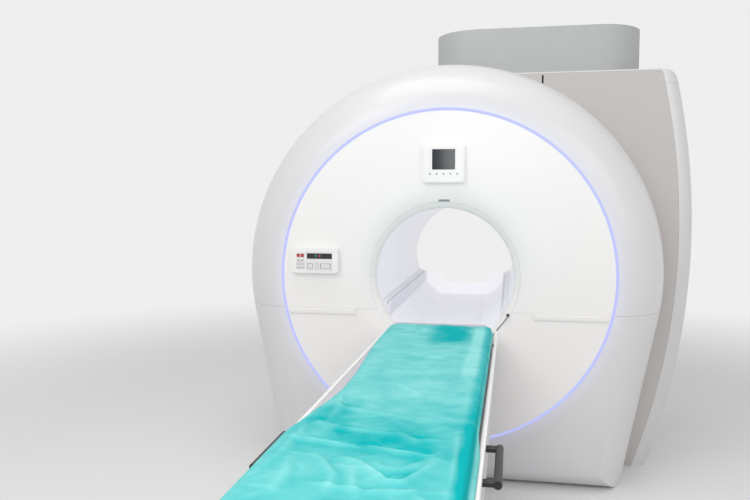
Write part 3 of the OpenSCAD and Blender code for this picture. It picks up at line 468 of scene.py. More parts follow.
def soften(piece: Object, width: float, harden: bool = True) -> None:
    """Rounds the sharp edges of a piece.

    Args:
        piece: the piece.
        width: the width of the rounding.
        harden: whether the flat faces beside the rounding stay flat to the eye.
    """
    rounding = piece.modifiers.new("soft_edges", "BEVEL")
    rounding.width = width
    rounding.segments = BEVEL_STEPS
    rounding.limit_method = "ANGLE"
    rounding.angle_limit = math.radians(TWIN_DEG)
    rounding.harden_normals = harden
    rounding.use_clamp_overlap = True


def body_of(node: str) -> str:
    """The body that carries a CAD node."""
    return frame["nodes"][node]["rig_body"]


def front_of(node: str) -> Point:
    """The middle of a CAD node's front face."""
    low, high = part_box(node)
    return ((low.x + high.x) / 2, low.y, (low.z + high.z) / 2)


def circle(count: int, radius: float, start_deg: float = 0.0) -> list[Pair]:
    """Places spread evenly round a circle: the cosine and the sine part of each."""
    angles = [math.radians(start_deg + 360 / count * index) for index in range(count)]
    return [(radius * math.cos(angle), radius * math.sin(angle)) for angle in angles]


def share_past(y: float, start: float, reach: float) -> float:
    """How much of a reach lies between a start and a place nearer the foot, from 0 to 1."""
    return min(1.0, max(0.0, (start - y) / reach))


def bent(bends: tuple[Bend, ...], x: float, z: float, loose: float) -> list[Pair]:
    """The places of bends beside a point, by how loose the cloth hangs, from 0 to 1."""
    return [(x + dx + swing * loose, z + dz + sag * loose) for dx, dz, swing, sag in bends]


def settle(piece: Object, body: str, *nodes: str) -> None:
    """Puts a piece on its body and says which nodes it stands for.

    Args:
        piece: the piece.
        body: the body's name.
        nodes: the CAD nodes that it replaces, if any.
    """
    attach(piece, body)
    if nodes:
        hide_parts(*nodes)
    LOG.info("%s rides on %s", piece.name, body)


@dataclass(frozen=True)
class Repeats:
    """A small shape that Geometry Nodes set out at a list of places."""

    name: str
    places: tuple[Point, ...]
    finish: Finish
    width: float
    height: float
    turn: Point = (0.0, 0.0, 0.0)
    sides: int = 6
    line: float = 0.0
    stretch: tuple[float, ...] = ()

    def build(self, body: str) -> Object:
        """Sets the shapes out, makes them one plain mesh and puts it on a body.

        Args:
            body: the body that carries them.

        Returns:
            The finished piece.
        """
        seeds = bpy.data.meshes.new(self.name)
        seeds.from_pydata(self.places, [], [])
        widths = self.stretch or (1.0,) * len(self.places)
        scales = seeds.attributes.new("stretch", "FLOAT_VECTOR", "POINT")
        scales.data.foreach_set("vector", [value for wide in widths for value in (wide, 1.0, 1.0)])
        piece = stand(self.name, seeds)
        tree, sizes = self._tree()
        rule = piece.modifiers.new("set_out", "NODES")
        rule.node_group = tree
        for identifier, value in sizes.items():
            rule[identifier] = value
        ready = piece.evaluated_get(bpy.context.evaluated_depsgraph_get())
        mesh = bpy.data.meshes.new_from_object(ready)
        piece.modifiers.clear()
        piece.data = mesh
        mesh.name = self.name
        shade(mesh, SOLID_DEG)
        settle(piece, body)
        return piece

    def _tree(self) -> tuple[NodeTree, dict[str, float]]:
        """Builds the rule that sets the shape out.

        Returns:
            The node tree, and the value of each input by its identifier.
        """
        tree = bpy.data.node_groups.new(self.name + "_rule", "GeometryNodeTree")
        face = tree.interface
        face.new_socket("Places", in_out="INPUT", socket_type="NodeSocketGeometry")
        wanted = {"Width": self.width, "Height": self.height, "Line": self.line}
        sizes = {face.new_socket(label, in_out="INPUT", socket_type="NodeSocketFloat").identifier: value
                 for label, value in wanted.items()}
        face.new_socket("Pieces", in_out="OUTPUT", socket_type="NodeSocketGeometry")
        start = tree.nodes.new("NodeGroupInput").outputs
        shape = self._outline(tree, start) if self.line else self._head(tree, start)
        stretch = add(tree, "GeometryNodeInputNamedAttribute", "Attribute", {"Name": "stretch"},
                      data_type="FLOAT_VECTOR")
        spread = add(tree, "GeometryNodeInstanceOnPoints", "Instances", {
            "Points": start["Places"], "Instance": shape, "Rotation": self.turn, "Scale": stretch,
        })
        real = add(tree, "GeometryNodeRealizeInstances", "Geometry", {"Geometry": spread})
        coat = add(tree, "GeometryNodeSetMaterial", "Geometry",
                   {"Geometry": real, "Material": self.finish.build()})
        fill(tree, tree.nodes.new("NodeGroupOutput"), {"Pieces": coat})
        return tree, sizes

    def _head(self, tree: NodeTree, start: NodeOutputs) -> NodeSocket:
        """A low head with drawn-in upper edges.

        Args:
            tree: the node tree.
            start: the rule's inputs.

        Returns:
            The head's geometry socket.
        """
        foot, top = (
            add(tree, "ShaderNodeMath", "Value", {0: start["Width"], 1: share}, operation="MULTIPLY")
            for share in (HEAD_FOOT, HEAD_TOP)
        )
        return add(tree, "GeometryNodeMeshCone", "Mesh", {
            "Vertices": self.sides, "Depth": start["Height"], "Radius Bottom": foot, "Radius Top": top,
        })

    @staticmethod
    def _outline(tree: NodeTree, start: NodeOutputs) -> NodeSocket:
        """A thin raised frame.

        Args:
            tree: the node tree.
            start: the rule's inputs.

        Returns:
            The frame's geometry socket.
        """
        path = add(tree, "GeometryNodeCurvePrimitiveQuadrilateral", "Curve",
                   {"Width": start["Width"], "Height": start["Height"]})
        thread = add(tree, "GeometryNodeCurvePrimitiveCircle", "Curve",
                     {"Resolution": LINE_SIDES, "Radius": start["Line"]})
        return add(tree, "GeometryNodeCurveToMesh", "Mesh", {"Curve": path, "Profile Curve": thread})


def front_plate(name: str, centre: Point, size: Pair, proud: float, finish: Finish,
                body: str = "gantry", corner: float = 0.003) -> Object:
    """A thin plate with rounded corners and a drawn-in front edge, facing the front.

    Args:
        name: the object's name.
        centre: the middle of its back.
        size: its width and height.
        proud: how far it stands out.
        finish: the finish it wears.
        body: the body that carries it.
        corner: the radius of its corners.

    Returns:
        The plate.
    """
    verts = []
    edge = min(PLATE_EDGE_SHARE * proud, PLATE_EDGE)
    layers = ((0.0, 0.0), (0.0, proud - edge), (edge, proud))
    for inset, depth in layers:
        half = (size[0] / 2 - inset, size[1] / 2 - inset)
        for quarter, (sx, sz) in enumerate(((1, 1), (-1, 1), (-1, -1), (1, -1))):
            for step in range(CORNER_STEPS):
                angle = math.pi / 2 * (quarter + step / (CORNER_STEPS - 1))
                verts.append((
                    centre[0] + sx * (half[0] - corner) + corner * math.cos(angle),
                    centre[1] - depth,
                    centre[2] + sz * (half[1] - corner) + corner * math.sin(angle),
                ))
    count = 4 * CORNER_STEPS
    front = (len(layers) - 1) * count
    faces: list[tuple[int, ...]] = [tuple(range(count)), tuple(range(front + count - 1, front - 1, -1))]
    for low in range(0, front, count):
        faces += [(low + i, low + count + i, low + count + (i + 1) % count, low + (i + 1) % count)
                  for i in range(count)]
    plate = solid(name, verts, faces, finish)
    with reworked(plate.data) as work:
        bmesh.ops.recalc_face_normals(work, faces=work.faces)
    settle(plate, body)
    return plate


@dataclass
class Gantry:
    """The covers, the magnet behind them and the bore."""

    # Rings of heads: how many, their radius and the first one's angle. A head: its width and height.
    vent_bolts: tuple[int, float] = (8, 0.130)
    vent_bolt: Pair = (0.022, 0.007)
    rear_screws: tuple[int, float, float] = (6, 0.50, 30.0)
    rear_screw: Pair = (0.016, 0.004)
    rear_screw_sides: int = 16
    rear_edge_x: Pair = (-0.86, 1.10)
    rear_edge_z: tuple[float, ...] = (0.10, 0.75, 1.40)
    rear_top: tuple[Pair, ...] = ((0.30, 2.06), (1.08, 2.06))
    covers: dict[str, Finish] = field(default_factory=lambda: {
        "disc_upper": WHITE, "disc_lower": WHITE, "ring_upper": SOFT_GREY, "ring_lower_left": SOFT_GREY,
        "ring_lower_right": SOFT_GREY, "flank_left": BODY_GREY, "flank_right": BODY_GREY, "fascia": TAUPE,
        "roof_deck": BODY_GREY, "rear_cover": BODY_GREY, "roof_cover": ROOF,
        "flare_upper": WHITE, "flare_lower": WHITE, "rear_flare": WHITE,
    })
    bore: dict[str, Finish] = field(default_factory=lambda: {
        "bore_liner": LINER_PAINTED_LIGHT, "bore_bridge": LINER_PAINTED_LIGHT, "bore_ledge_left": LEDGE_PAINTED_LIGHT, "bore_ledge_right": LEDGE_PAINTED_LIGHT,
        "rear_sill": SILL_PAINTED_LIGHT,
    })
    inside: dict[str, Finish] = field(default_factory=lambda: {
        "base_frame": DARK_STEEL, "magnet_vessel": STEEL, "gradient_coil": RESIN, "body_coil": COPPER,
        "cover_frame": ALUMINIUM, "light_channel": ALUMINIUM, "magnet_turret": STEEL, "cold_head": ALUMINIUM,
    })

    def build(self) -> None:
        """Dresses every cover, the bore's pieces and what lies inside."""
        for node, finish in {**self.covers, **self.bore, **self.inside, "light_ring": GLOW}.items():
            twin(node, finish)
        self.screws()

    def screws(self) -> None:
        """Sets the heads of the screws and bolts that hold the covers and the vent."""
        low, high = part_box("magnet_turret")
        middle = ((low.x + high.x) / 2, (low.y + high.y) / 2)
        ring = tuple((middle[0] + x, middle[1] + y, high.z) for x, y in circle(*self.vent_bolts))
        Repeats("vent_bolts", ring, STAINLESS, *self.vent_bolt).build("gantry")
        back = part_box("rear_cover")[1].y
        around = tuple((x, back, AXIS_H + z) for z, x in circle(*self.rear_screws))
        edge = tuple((x, back, z) for x in self.rear_edge_x for z in self.rear_edge_z)
        top = tuple((x, back, z) for x, z in self.rear_top)
        Repeats("rear_cover_screws", around + edge + top, STAINLESS, *self.rear_screw,
                turn=TO_BACK, sides=self.rear_screw_sides).build("gantry")


@dataclass
class FrontFittings:
    """The control panel, the status display and the window."""

    finishes: dict[str, Finish] = field(default_factory=lambda: {
        "laser_window": WINDOW, "panel_display": PLATE_GREY, "panel_labels": PLATE_GREY,
        "key_stop": PLATE_GREY, "key_home": PLATE_GREY, "key_light": KEY, "key_fan": KEY,
        "status_screen": WHITE, "status_lamps": LAMP, "lead_grommets": RUBBER,
    })
    soft_edge: float = 0.0015
    glass: Pair = (0.133, 0.028)
    status_glass: Pair = (0.114, 0.100)
    glass_thick: float = 0.0006
    # The panel's lights: how far from its middle, the size and the finish.
    lights: tuple[tuple[str, float, Pair, Finish], ...] = (
        ("display_figure", 0.002, (0.006, 0.016), RED_LAMP),
        ("display_bar", -0.018, (0.014, 0.012), DIM_GREEN),
    )
    light_rise: float = 0.001
    light_thick: float = 0.0003
    light_corner: float = 0.001
    mark_in: float = 0.0115
    mark_share: float = 0.78
    mark_thick: float = 0.0006
    label_x: tuple[float, ...] = (-0.6845, -0.6475, -0.6030)
    label_size: Pair = (0.022, 0.024)
    label_line: float = 0.0011
    label_stretch: tuple[float, ...] = (1.27, 0.6, 2.3)

    def build(self) -> None:
        """Dresses the fittings, with soft edges on the housings."""
        for node in ("panel_housing", "status_housing"):
            twin(node, WHITE, bevel=self.soft_edge)
        for node, finish in self.finishes.items():
            twin(node, finish)
        self.displays()
        self.key_marks()

    def displays(self) -> None:
        """Lays the dark glass and its small lights over the two displays."""
        centre = front_of("panel_display")
        front_plate("panel_glass", centre, self.glass, self.glass_thick, SCREEN)
        face, middle = centre[1] - self.glass_thick, centre[2] + self.light_rise
        for name, aside, size, finish in self.lights:
            front_plate(name, (centre[0] + aside, face, middle), size, self.light_thick, finish,
                        corner=self.light_corner)
        front_plate("status_glass", front_of("status_screen"), self.status_glass, self.glass_thick,
                    STATUS_GLASS)

    def key_marks(self) -> None:
        """Sets the coloured marks on the two upper keys and the outlines on the label plate."""
        for node, finish in (("key_stop", RED), ("key_home", KEY_MARK)):
            low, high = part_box(node)
            middle = (low.z + high.z) / 2
            places = tuple((x, low.y, middle) for x in (low.x + self.mark_in, high.x - self.mark_in))
            side = self.mark_share * (high.z - low.z)
            Repeats(node + "_marks", places, finish, side * math.sqrt(2), self.mark_thick,
                    turn=TO_FRONT_SQUARE, sides=4).build(body_of(node))
        _, face, middle = front_of("panel_labels")
        places = tuple((x, face, middle) for x in self.label_x)
        Repeats("label_outlines", places, LEGEND, *self.label_size, turn=TO_FRONT,
                line=self.label_line, stretch=self.label_stretch).build("gantry")


@dataclass
class Table:
    """The pedestal, the lift, the carrier and the sliding tabletop."""

    finishes: dict[str, Finish] = field(default_factory=lambda: {
        "table_base": TABLE_GREY, "column_outer": ALUMINIUM, "shroud_mid": TABLE_GREY,
        "column_mid": ALUMINIUM, "shroud_upper": TABLE_GREY, "column_inner": ALUMINIUM,
        "carrier_plinth": BLACK, "carrier_body": TABLE_GREY, "carrier_deck": ALUMINIUM,
        "side_rail_left": TABLE_WHITE,
        "side_rail_right": TABLE_WHITE, "side_grip_left": BLACK, "side_grip_right": BLACK,
        "drive_motor": DARK_STEEL, "drive_beam": ALUMINIUM, "tabletop": TABLE_WHITE, "drive_dog": DARK_STEEL,
    })
    clip_at: Point = (0.2625, -1.195, 0.8222)
    clip_size: Pair = (0.005, 0.003)
    clip_proud: float = 0.050
    clip_corner: float = 0.001

    def build(self) -> None:
        """Dresses every rigid piece of the table and adds the clip for the lead."""
        for node, finish in self.finishes.items():
            twin(node, finish)
        front_plate("lead_clip", self.clip_at, self.clip_size, self.clip_proud, BLACK,
                    body_of("side_rail_right"), corner=self.clip_corner)


@dataclass(frozen=True)
class Fold:
    """One fold of the cloth: a soft ridge along a line, with a hollow beside it."""

    line: tuple[Pair, ...]
    height: float
    width: float
    hollow: float = 0.0

    def lift(self, x: np.ndarray, y: np.ndarray) -> np.ndarray:
        """How far the fold raises the cloth.

        Args:
            x: places across the table.
            y: places along the table.

        Returns:
            The rise at each place.
        """
        points = np.array(self.line)
        steps = np.linalg.norm(np.diff(points, axis=0), axis=1)
        starts = np.concatenate([[0.0], np.cumsum(steps)[:-1]])
        nearest = np.full(x.shape, np.inf)
        along = np.zeros(x.shape)
        for a, b, length, start in zip(points, points[1:], steps, starts):
            run = (b - a) / length
            t = np.clip((x - a[0]) * run[0] + (y - a[1]) * run[1], 0.0, length)
            dx, dy = x - a[0] - run[0] * t, y - a[1] - run[1] * t
            side = np.sign(run[0] * dy - run[1] * dx)
            gap = np.hypot(dx, dy)
            closer = gap < np.abs(nearest)
            nearest = np.where(closer, gap * np.where(side == 0, 1, side), nearest)
            along = np.where(closer, (start + t) / steps.sum(), along)
        taper = np.clip(np.sin(np.pi * along), 0.0, 1.0) ** FOLD_TAPER
        ridge = np.exp(-((nearest / self.width) ** 2))
        dip = np.exp(-(((nearest - HOLLOW_AT * self.width) / self.width) ** 2))
        return taper * (self.height * ridge - self.hollow * dip)


@dataclass(frozen=True)
class PaintedTone:
    """The painted light and shade on the cloth. A pair holds its value near the foot and the change towards
    the head.
    """

    near_to: float = -2.52
    near_fade: float = 0.22
    base: Pair = (0.42, 0.24)
    gain: Pair = (36.0, -12.0)
    level: float = 0.0035
    hem: Pair = (0.88, -0.58)
    hem_from: float = 0.250
    hem_fade: float = 0.006
    right: Pair = (-0.14, 0.36)
    right_from: float = -2.62
    right_fade: float = 0.55
    left: float = 0.55
    least: float = -0.2
    most: float = 1.0


@dataclass(frozen=True)
class Crumple:
    """The seeded small creases. Each is drawn from ranges, its turn by a mean and a spread."""

    seed: int = 11
    count: int = 170
    across: Pair = (-0.22, 0.22)
    along: Pair = (-3.12, -1.05)
    turn: Pair = (0.0, 0.8)
    reach: Pair = (0.02, 0.09)
    width: Pair = (0.004, 0.010)
    height: Pair = (0.0008, 0.0030)


@dataclass
class Bedding:
    """The mattress and the cover sheet on the tabletop."""

    pad_bevel: float = 0.008
    pad_round: float = 0.035
    pad_drop: float = 0.025
    pad_band: float = 0.004
    pad_cuts: tuple[float, ...] = (0.006, 0.012, 0.019, 0.027)
    sheet_thick: float = 0.0006
    across: int = 104
    along: int = 390
    along_far: int = 150
    near_from: float = -2.45
    rail_in: float = 0.262
    rail_out: float = 0.279
    rail_top: float = 0.8235
    hem_x: float = 0.2575
    hem_z: float = 0.8430
    side_gap: float = 0.0008
    top_gap: float = 0.0012
    bore_limit: float = 0.345
    bore_free: float = 0.055
    bore_fade: float = 0.05
    spill_from: float = -2.46
    spill_full: float = -2.61
    loose_from: float = -2.50
    loose_fade: float = 0.12
    # The bends of the cloth: x and z from a point, and their changes where the cloth hangs loose.
    hem_bends: tuple[Bend, ...] = ((0.0, 0.0, 0.009, -0.018), (-0.005, 0.004, 0.002, -0.014))
    right_bends: tuple[Bend, ...] = (
        (0.003, -0.009, 0.0, 0.0), (0.0, 0.0, 0.0, 0.0), (-0.05, 0.0, 0.0, 0.0),
    )
    spill_bends: tuple[Bend, ...] = ((0.05, 0.0, 0.0, 0.0), (0.004, 0.0, 0.0, 0.0))
    rail_in_bends: tuple[Bend, ...] = ((-0.004, 0.008, 0.0, 0.0),)
    rail_out_bends: tuple[Bend, ...] = ((0.0, 0.0015, -0.004, -0.012),)
    # Where the hem lies on the pad: how far in from it, and the share of the pad's fall there.
    rest_bends: tuple[Pair, ...] = ((0.05, 0.0), (0.022, 0.15), (0.008, 0.6), (0.0, 1.0))
    round_offs: int = 3
    round_share: float = 0.25
    fold_edge: float = 0.236
    fold_fade_right: float = 0.022
    fold_fade_left: float = 0.03
    fold_hem: float = 0.002
    fold_fade_hem: float = 0.025
    head_band: float = 0.09
    # The hem at the head: waves by height, radians in a metre and start, and its drawn-back corners.
    head_waves: tuple[Point, ...] = ((0.007, 31.0, 0.6), (0.004, 67.0, 0.0))
    head_corner: Pair = (0.020, 0.24)
    # The swell: its level and height, and waves by radians in a metre across and along, and start.
    swell: Pair = (0.0010, 0.0011)
    swell_waves: tuple[Point, ...] = ((7.1, 3.3, 0.4), (-5.2, 4.3, 0.0))
    painted_tone: PaintedTone = PaintedTone()
    crumple: Crumple = Crumple()
    # The left hem: y, and the x that it lies at.
    hem_line: tuple[Pair, ...] = (
        (-3.30, -0.236), (-2.64, -0.233), (-2.55, -0.229), (-2.47, -0.216), (-2.34, -0.195), (-2.20, -0.184),
        (-2.00, -0.188), (-1.70, -0.206), (-1.40, -0.222), (-1.00, -0.228),
    )
    folds: tuple[Fold, ...] = (
        Fold(((-0.238, -2.660), (-0.200, -2.698), (-0.123, -2.716), (-0.008, -2.732)), 0.0115, 0.0070, 0.006),
        Fold(((-0.020, -2.712), (0.030, -2.738), (0.075, -2.757), (0.175, -2.762)), 0.0115, 0.0070, 0.006),
        Fold(((-0.080, -2.780), (0.002, -2.830), (0.045, -2.890), (0.080, -2.930), (0.115, -2.930),
              (0.145, -2.870), (0.190, -2.735)), 0.0090, 0.0110, 0.004),
        Fold(((0.010, -2.795), (0.060, -2.850), (0.105, -2.860), (0.150, -2.800), (0.185, -2.700)),
             0.0055, 0.012, 0.002),
        Fold(((-0.130, -2.780), (-0.087, -2.834), (-0.045, -2.904), (-0.030, -3.020)), 0.0060, 0.011, 0.002),
        Fold(((-0.010, -2.840), (0.004, -2.925), (0.035, -3.030)), 0.0060, 0.012, 0.002),
        Fold(((-0.180, -2.800), (-0.150, -2.900), (-0.150, -3.040)), 0.0050, 0.013, 0.001),
        Fold(((0.205, -2.560), (0.214, -2.700), (0.219, -2.950)), 0.0070, 0.008, 0.003),
        Fold(((-0.225, -2.520), (-0.195, -2.620), (-0.200, -2.800), (-0.235, -2.960)), 0.0050, 0.012, 0.001),
        Fold(((-0.215, -2.180), (-0.165, -2.320), (-0.145, -2.440), (-0.150, -2.560)), 0.0070, 0.012, 0.003),
        Fold(((-0.235, -2.340), (-0.120, -2.420), (0.020, -2.450)), 0.0060, 0.013, 0.002),
        Fold(((-0.190, -2.550), (-0.080, -2.600), (0.070, -2.615)), 0.0060, 0.012, 0.002),
        Fold(((0.040, -2.590), (0.110, -2.660), (0.200, -2.640)), 0.0060, 0.012, 0.002),
        Fold(((-0.100, -2.960), (0.060, -2.990), (0.190, -2.960)), 0.0055, 0.013, 0.001),
        Fold(((0.130, -2.960), (0.170, -3.020), (0.150, -3.130)), 0.0050, 0.012, 0.001),
        Fold(((0.02, -1.06), (0.05, -1.14), (0.04, -1.24)), 0.0050, 0.012, 0.001),
        Fold(((0.10, -1.05), (0.13, -1.13), (0.11, -1.26)), 0.0055, 0.011, 0.001),
        Fold(((-0.06, -1.08), (-0.04, -1.18), (-0.08, -1.30)), 0.0050, 0.014),
        Fold(((0.19, -1.04), (0.16, -1.16), (0.20, -1.34)), 0.0045, 0.012),
        Fold(((-0.18, -1.10), (-0.02, -1.22), (0.16, -1.28)), 0.0040, 0.014),
        Fold(((-0.20, -1.45), (0.00, -1.52), (0.21, -1.49)), 0.0055, 0.015, 0.001),
        Fold(((-0.15, -1.72), (0.02, -1.69), (0.20, -1.78)), 0.0060, 0.014, 0.001),
        Fold(((-0.21, -1.90), (-0.03, -1.96), (0.15, -1.93)), 0.0050, 0.015),
        Fold(((0.21, -1.55), (0.17, -1.80), (0.20, -2.10)), 0.0045, 0.011),
        Fold(((-0.05, -2.10), (0.06, -2.22), (0.08, -2.36)), 0.0050, 0.013, 0.001),
    )
    # Patches of painted light and painted shade: x, y, half width, half length and the change.
    painted_patches: tuple[tuple[float, float, float, float, float], ...] = (
        (0.075, -1.22, 0.090, 0.24, -0.64), (0.205, -1.28, 0.028, 0.22, 0.50),
        (0.02, -2.70, 0.16, 0.09, -0.20), (-0.14, -2.50, 0.06, 0.16, -0.18),
        (0.21, -1.75, 0.035, 0.24, 0.50), (-0.16, -2.62, 0.05, 0.06, 0.20),
        (-0.12, -2.92, 0.11, 0.14, 0.10), (0.02, -2.96, 0.12, 0.10, 0.06),
        (0.10, -2.89, 0.05, 0.05, -0.14),
    )

    def build(self) -> None:
        """Builds the mattress, then the sheet that lies on it."""
        self.mattress()
        self.sheet()

    def mattress(self) -> Object:
        """A crowned foam pad in a vinyl cover.

        Returns:
            The pad.
        """
        pad = twin("mattress", VINYL)
        self.round_sides(pad.data)
        soften(pad, self.pad_bevel, harden=False)
        return pad

    def round_sides(self, mesh: Mesh) -> None:
        """Lets the pad's top fall away towards its edges, as worn foam does.

        Args:
            mesh: the pad's mesh.
        """
        low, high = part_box("mattress")
        with reworked(mesh) as work:
            for inset in (*self.pad_cuts, self.pad_round):
                for axis in range(2):
                    for place in (low[axis] + inset, high[axis] - inset):
                        across = tuple(float(index == axis) for index in range(3))
                        bmesh.ops.bisect_plane(
                            work, geom=[*work.verts, *work.edges, *work.faces], plane_no=across,
                            plane_co=tuple(place * share for share in across),
                        )
            for vert in work.verts:
                x, y, z = vert.co
                inside = min(high.x - x, x - low.x, high.y - y, y - low.y)
                depth = max(0.0, 1.0 - inside / self.pad_round)
                if z > high.z - self.pad_band:
                    vert.co.z -= self.pad_drop * depth ** 2

    def left_hem(self, y: float) -> float:
        """How far left the cloth reaches on top of the pad, before it spills over."""
        return float(np.interp(y, *zip(*self.hem_line)))

    def spill(self, y: float) -> float:
        """How far the cloth has left the mattress's side for the left rail, from 0 to 1."""
        t = share_past(y, self.spill_from, self.spill_from - self.spill_full)
        return t * t * (3 - 2 * t)

    def profile(self, y: float) -> np.ndarray:
        """The line that the sheet follows across the table at one place.

        Args:
            y: the place along the table.

        Returns:
            Rows of x and z from the right edge to the left edge, rounded at the bends.
        """
        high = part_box("cover_sheet")[1]
        edge, top = high.x + self.side_gap, high.z + self.top_gap
        spill = self.spill(y)
        loose = share_past(y, self.loose_from, self.loose_fade)
        hem = self.left_hem(y)
        drop = self.pad_drop * max(0.0, 1.0 - (edge + hem) / self.pad_round) ** 2
        inner = [(hem + run, top - share * drop) for run, share in self.rest_bends]
        outer = [*bent(self.spill_bends, -edge, top, loose),
                 *bent(self.rail_in_bends, -self.rail_in, self.rail_top, loose),
                 *bent(self.rail_out_bends, -self.rail_out, self.rail_top, loose)]
        left = [(a[0] + (b[0] - a[0]) * spill, a[1] + (b[1] - a[1]) * spill) for a, b in zip(inner, outer)]
        right = [*bent(self.hem_bends, self.hem_x, self.hem_z, loose),
                 *bent(self.right_bends, edge, top, loose)]
        line = np.array(right + left)
        near, far = 1 - self.round_share, self.round_share
        for _ in range(self.round_offs):
            cut = np.empty((2 * len(line) - 2, 2))
            cut[0::2] = near * line[:-1] + far * line[1:]
            cut[1::2] = far * line[:-1] + near * line[1:]
            line = np.vstack([line[:1], cut[1:-1], line[-1:]])
        return self.inside_bore(line, y)

    def inside_bore(self, line: np.ndarray, y: float) -> np.ndarray:
        """Keeps the part of the cloth that runs into the bore clear of its wall.

        Args:
            line: the profile's points.
            y: the place along the table at rest.

        Returns:
            The profile with its far points drawn in.
        """
        limit = self.bore_limit + self.bore_free * share_past(y, self.loose_from, self.bore_fade)
        reach = np.hypot(line[:, 0], line[:, 1] - AXIS_H)
        share = np.minimum(1.0, limit / reach)
        return np.column_stack([line[:, 0] * share, AXIS_H + (line[:, 1] - AXIS_H) * share])

    def flat_grid(self, low: Vector, high: Vector) -> np.ndarray:
        """The smooth sheet's points.

        Args:
            low: the low corner of the CAD sheet's box.
            high: its high corner.

        Returns:
            Rows of points across the table, from the head to the foot.
        """
        rows = []
        share = np.linspace(0.0, 1.0, self.across + 1)
        far = np.linspace(high.y, self.near_from, self.along_far, endpoint=False)
        near = np.linspace(self.near_from, low.y, self.along - self.along_far + 1)
        for y in np.concatenate([far, near]):
            line = self.profile(float(y))
            run = np.concatenate([[0.0], np.cumsum(np.linalg.norm(np.diff(line, axis=0), axis=1))])
            rows.append(np.column_stack([
                np.interp(share * run[-1], run, line[:, 0]), np.full(share.shape, y),
                np.interp(share * run[-1], run, line[:, 1]),
            ]))
        return np.array(rows)

    def sheet(self) -> Object:
        """The thin cloth, folded and crumpled, hung at its edges and over the left rail.

        Returns:
            The sheet.
        """
        low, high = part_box("cover_sheet")
        grid = self.flat_grid(low, high)
        x, y, z = grid[..., 0], grid[..., 1], grid[..., 2]
        free = np.clip((self.fold_edge - x) / self.fold_fade_right, 0.0, 1.0)
        free = free * np.clip((x - x[:, -1:] - self.fold_hem) / self.fold_fade_hem, 0.0, 1.0)
        free = np.minimum(free, np.clip((self.fold_edge + x) / self.fold_fade_left, 0.0, 1.0))
        rise = self.relief(x, y)
        z += free * np.maximum(0.0, rise)
        # the cloth's painted light and shade, kept on its points for its finish
        painted_shading = self.painted_shading(x, y, rise, free)
        near_head = np.exp(-((high.y - y) / self.head_band) ** 2)
        waves = sum(height * np.sin(x * count + start) for height, count, start in self.head_waves)
        y += near_head * (waves - self.head_corner[0] * (x / self.head_corner[1]) ** 4)
        verts = [tuple(map(float, point)) for point in grid.reshape(-1, 3)]
        wide = self.across + 1
        faces = [
            (j * wide + i, (j + 1) * wide + i, (j + 1) * wide + i + 1, j * wide + i + 1)
            for j in range(self.along) for i in range(self.across)
        ]
        cloth = solid("cover_cloth", verts, faces, SHEET, ALL_SMOOTH_DEG)
        cloth.data.attributes.new(SHEET.painted_shading, "FLOAT", "POINT").data.foreach_set("value", painted_shading.ravel())
        thick = cloth.modifiers.new("thickness", "SOLIDIFY")
        thick.thickness = self.sheet_thick
        thick.offset = 1.0
        settle(cloth, "tabletop", "cover_sheet")
        return cloth

    def painted_shading(self, x: np.ndarray, y: np.ndarray, rise: np.ndarray, free: np.ndarray) -> np.ndarray:
        """The cloth's painted light and shade: painted highlights on ridges, painted shade in hollows, and a
        painted tone of its own where it hangs.

        Args:
            x: places across the table.
            y: places along the table.
            rise: the relief at each place.
            free: 1 on the top, 0 beyond its edges.

        Returns:
            A share up to 1, below 0 where the grain mustn't lighten it.
        """
        painted_tone = self.painted_tone
        away = np.clip((y - painted_tone.near_to) / painted_tone.near_fade, 0.0, 1.0)
        gain = painted_tone.gain[0] + painted_tone.gain[1] * away
        light = painted_tone.base[0] + painted_tone.base[1] * away + gain * (rise - painted_tone.level)
        for x0, y0, wide, long, change in self.painted_patches:
            light = light + change * np.exp(-(((x - x0) / wide) ** 4) - ((y - y0) / long) ** 4)
        hem = np.clip((x - painted_tone.hem_from) / painted_tone.hem_fade, 0.0, 1.0) * (painted_tone.hem[0] + painted_tone.hem[1] * away)
        right = painted_tone.right[0] + painted_tone.right[1] * np.clip((y - painted_tone.right_from) / painted_tone.right_fade, 0.0, 1.0)
        # where the cloth hangs over the sides: painted shade, with painted light on the right hem
        hung = np.where(x > 0, right + hem, painted_tone.left)
        return np.clip(light * free + hung * (1.0 - free), painted_tone.least, painted_tone.most)

    def relief(self, x: np.ndarray, y: np.ndarray) -> np.ndarray:
        """The height of every fold, wrinkle and swell.

        Args:
            x: places across the table.
            y: places along the table.

        Returns:
            The rise at each place.
        """
        first, second = (np.sin(across * x + along * y + start) for across, along, start in self.swell_waves)
        total = self.swell[0] + self.swell[1] * first * second
        for fold in self.folds:
            total = total + fold.lift(x, y)
        crumple = self.crumple
        rng = random.Random(crumple.seed)
        for _ in range(crumple.count):
            x0, y0 = rng.uniform(*crumple.across), rng.uniform(*crumple.along)
            turn, reach = rng.gauss(*crumple.turn), rng.uniform(*crumple.reach)
            width, height = rng.uniform(*crumple.width), rng.uniform(*crumple.height)
            u = (x - x0) * math.cos(turn) + (y - y0) * math.sin(turn)
            v = (y - y0) * math.cos(turn) - (x - x0) * math.sin(turn)
            total = total + height * np.exp(-((v / width) ** 2) - (u / reach) ** 2)
        return total


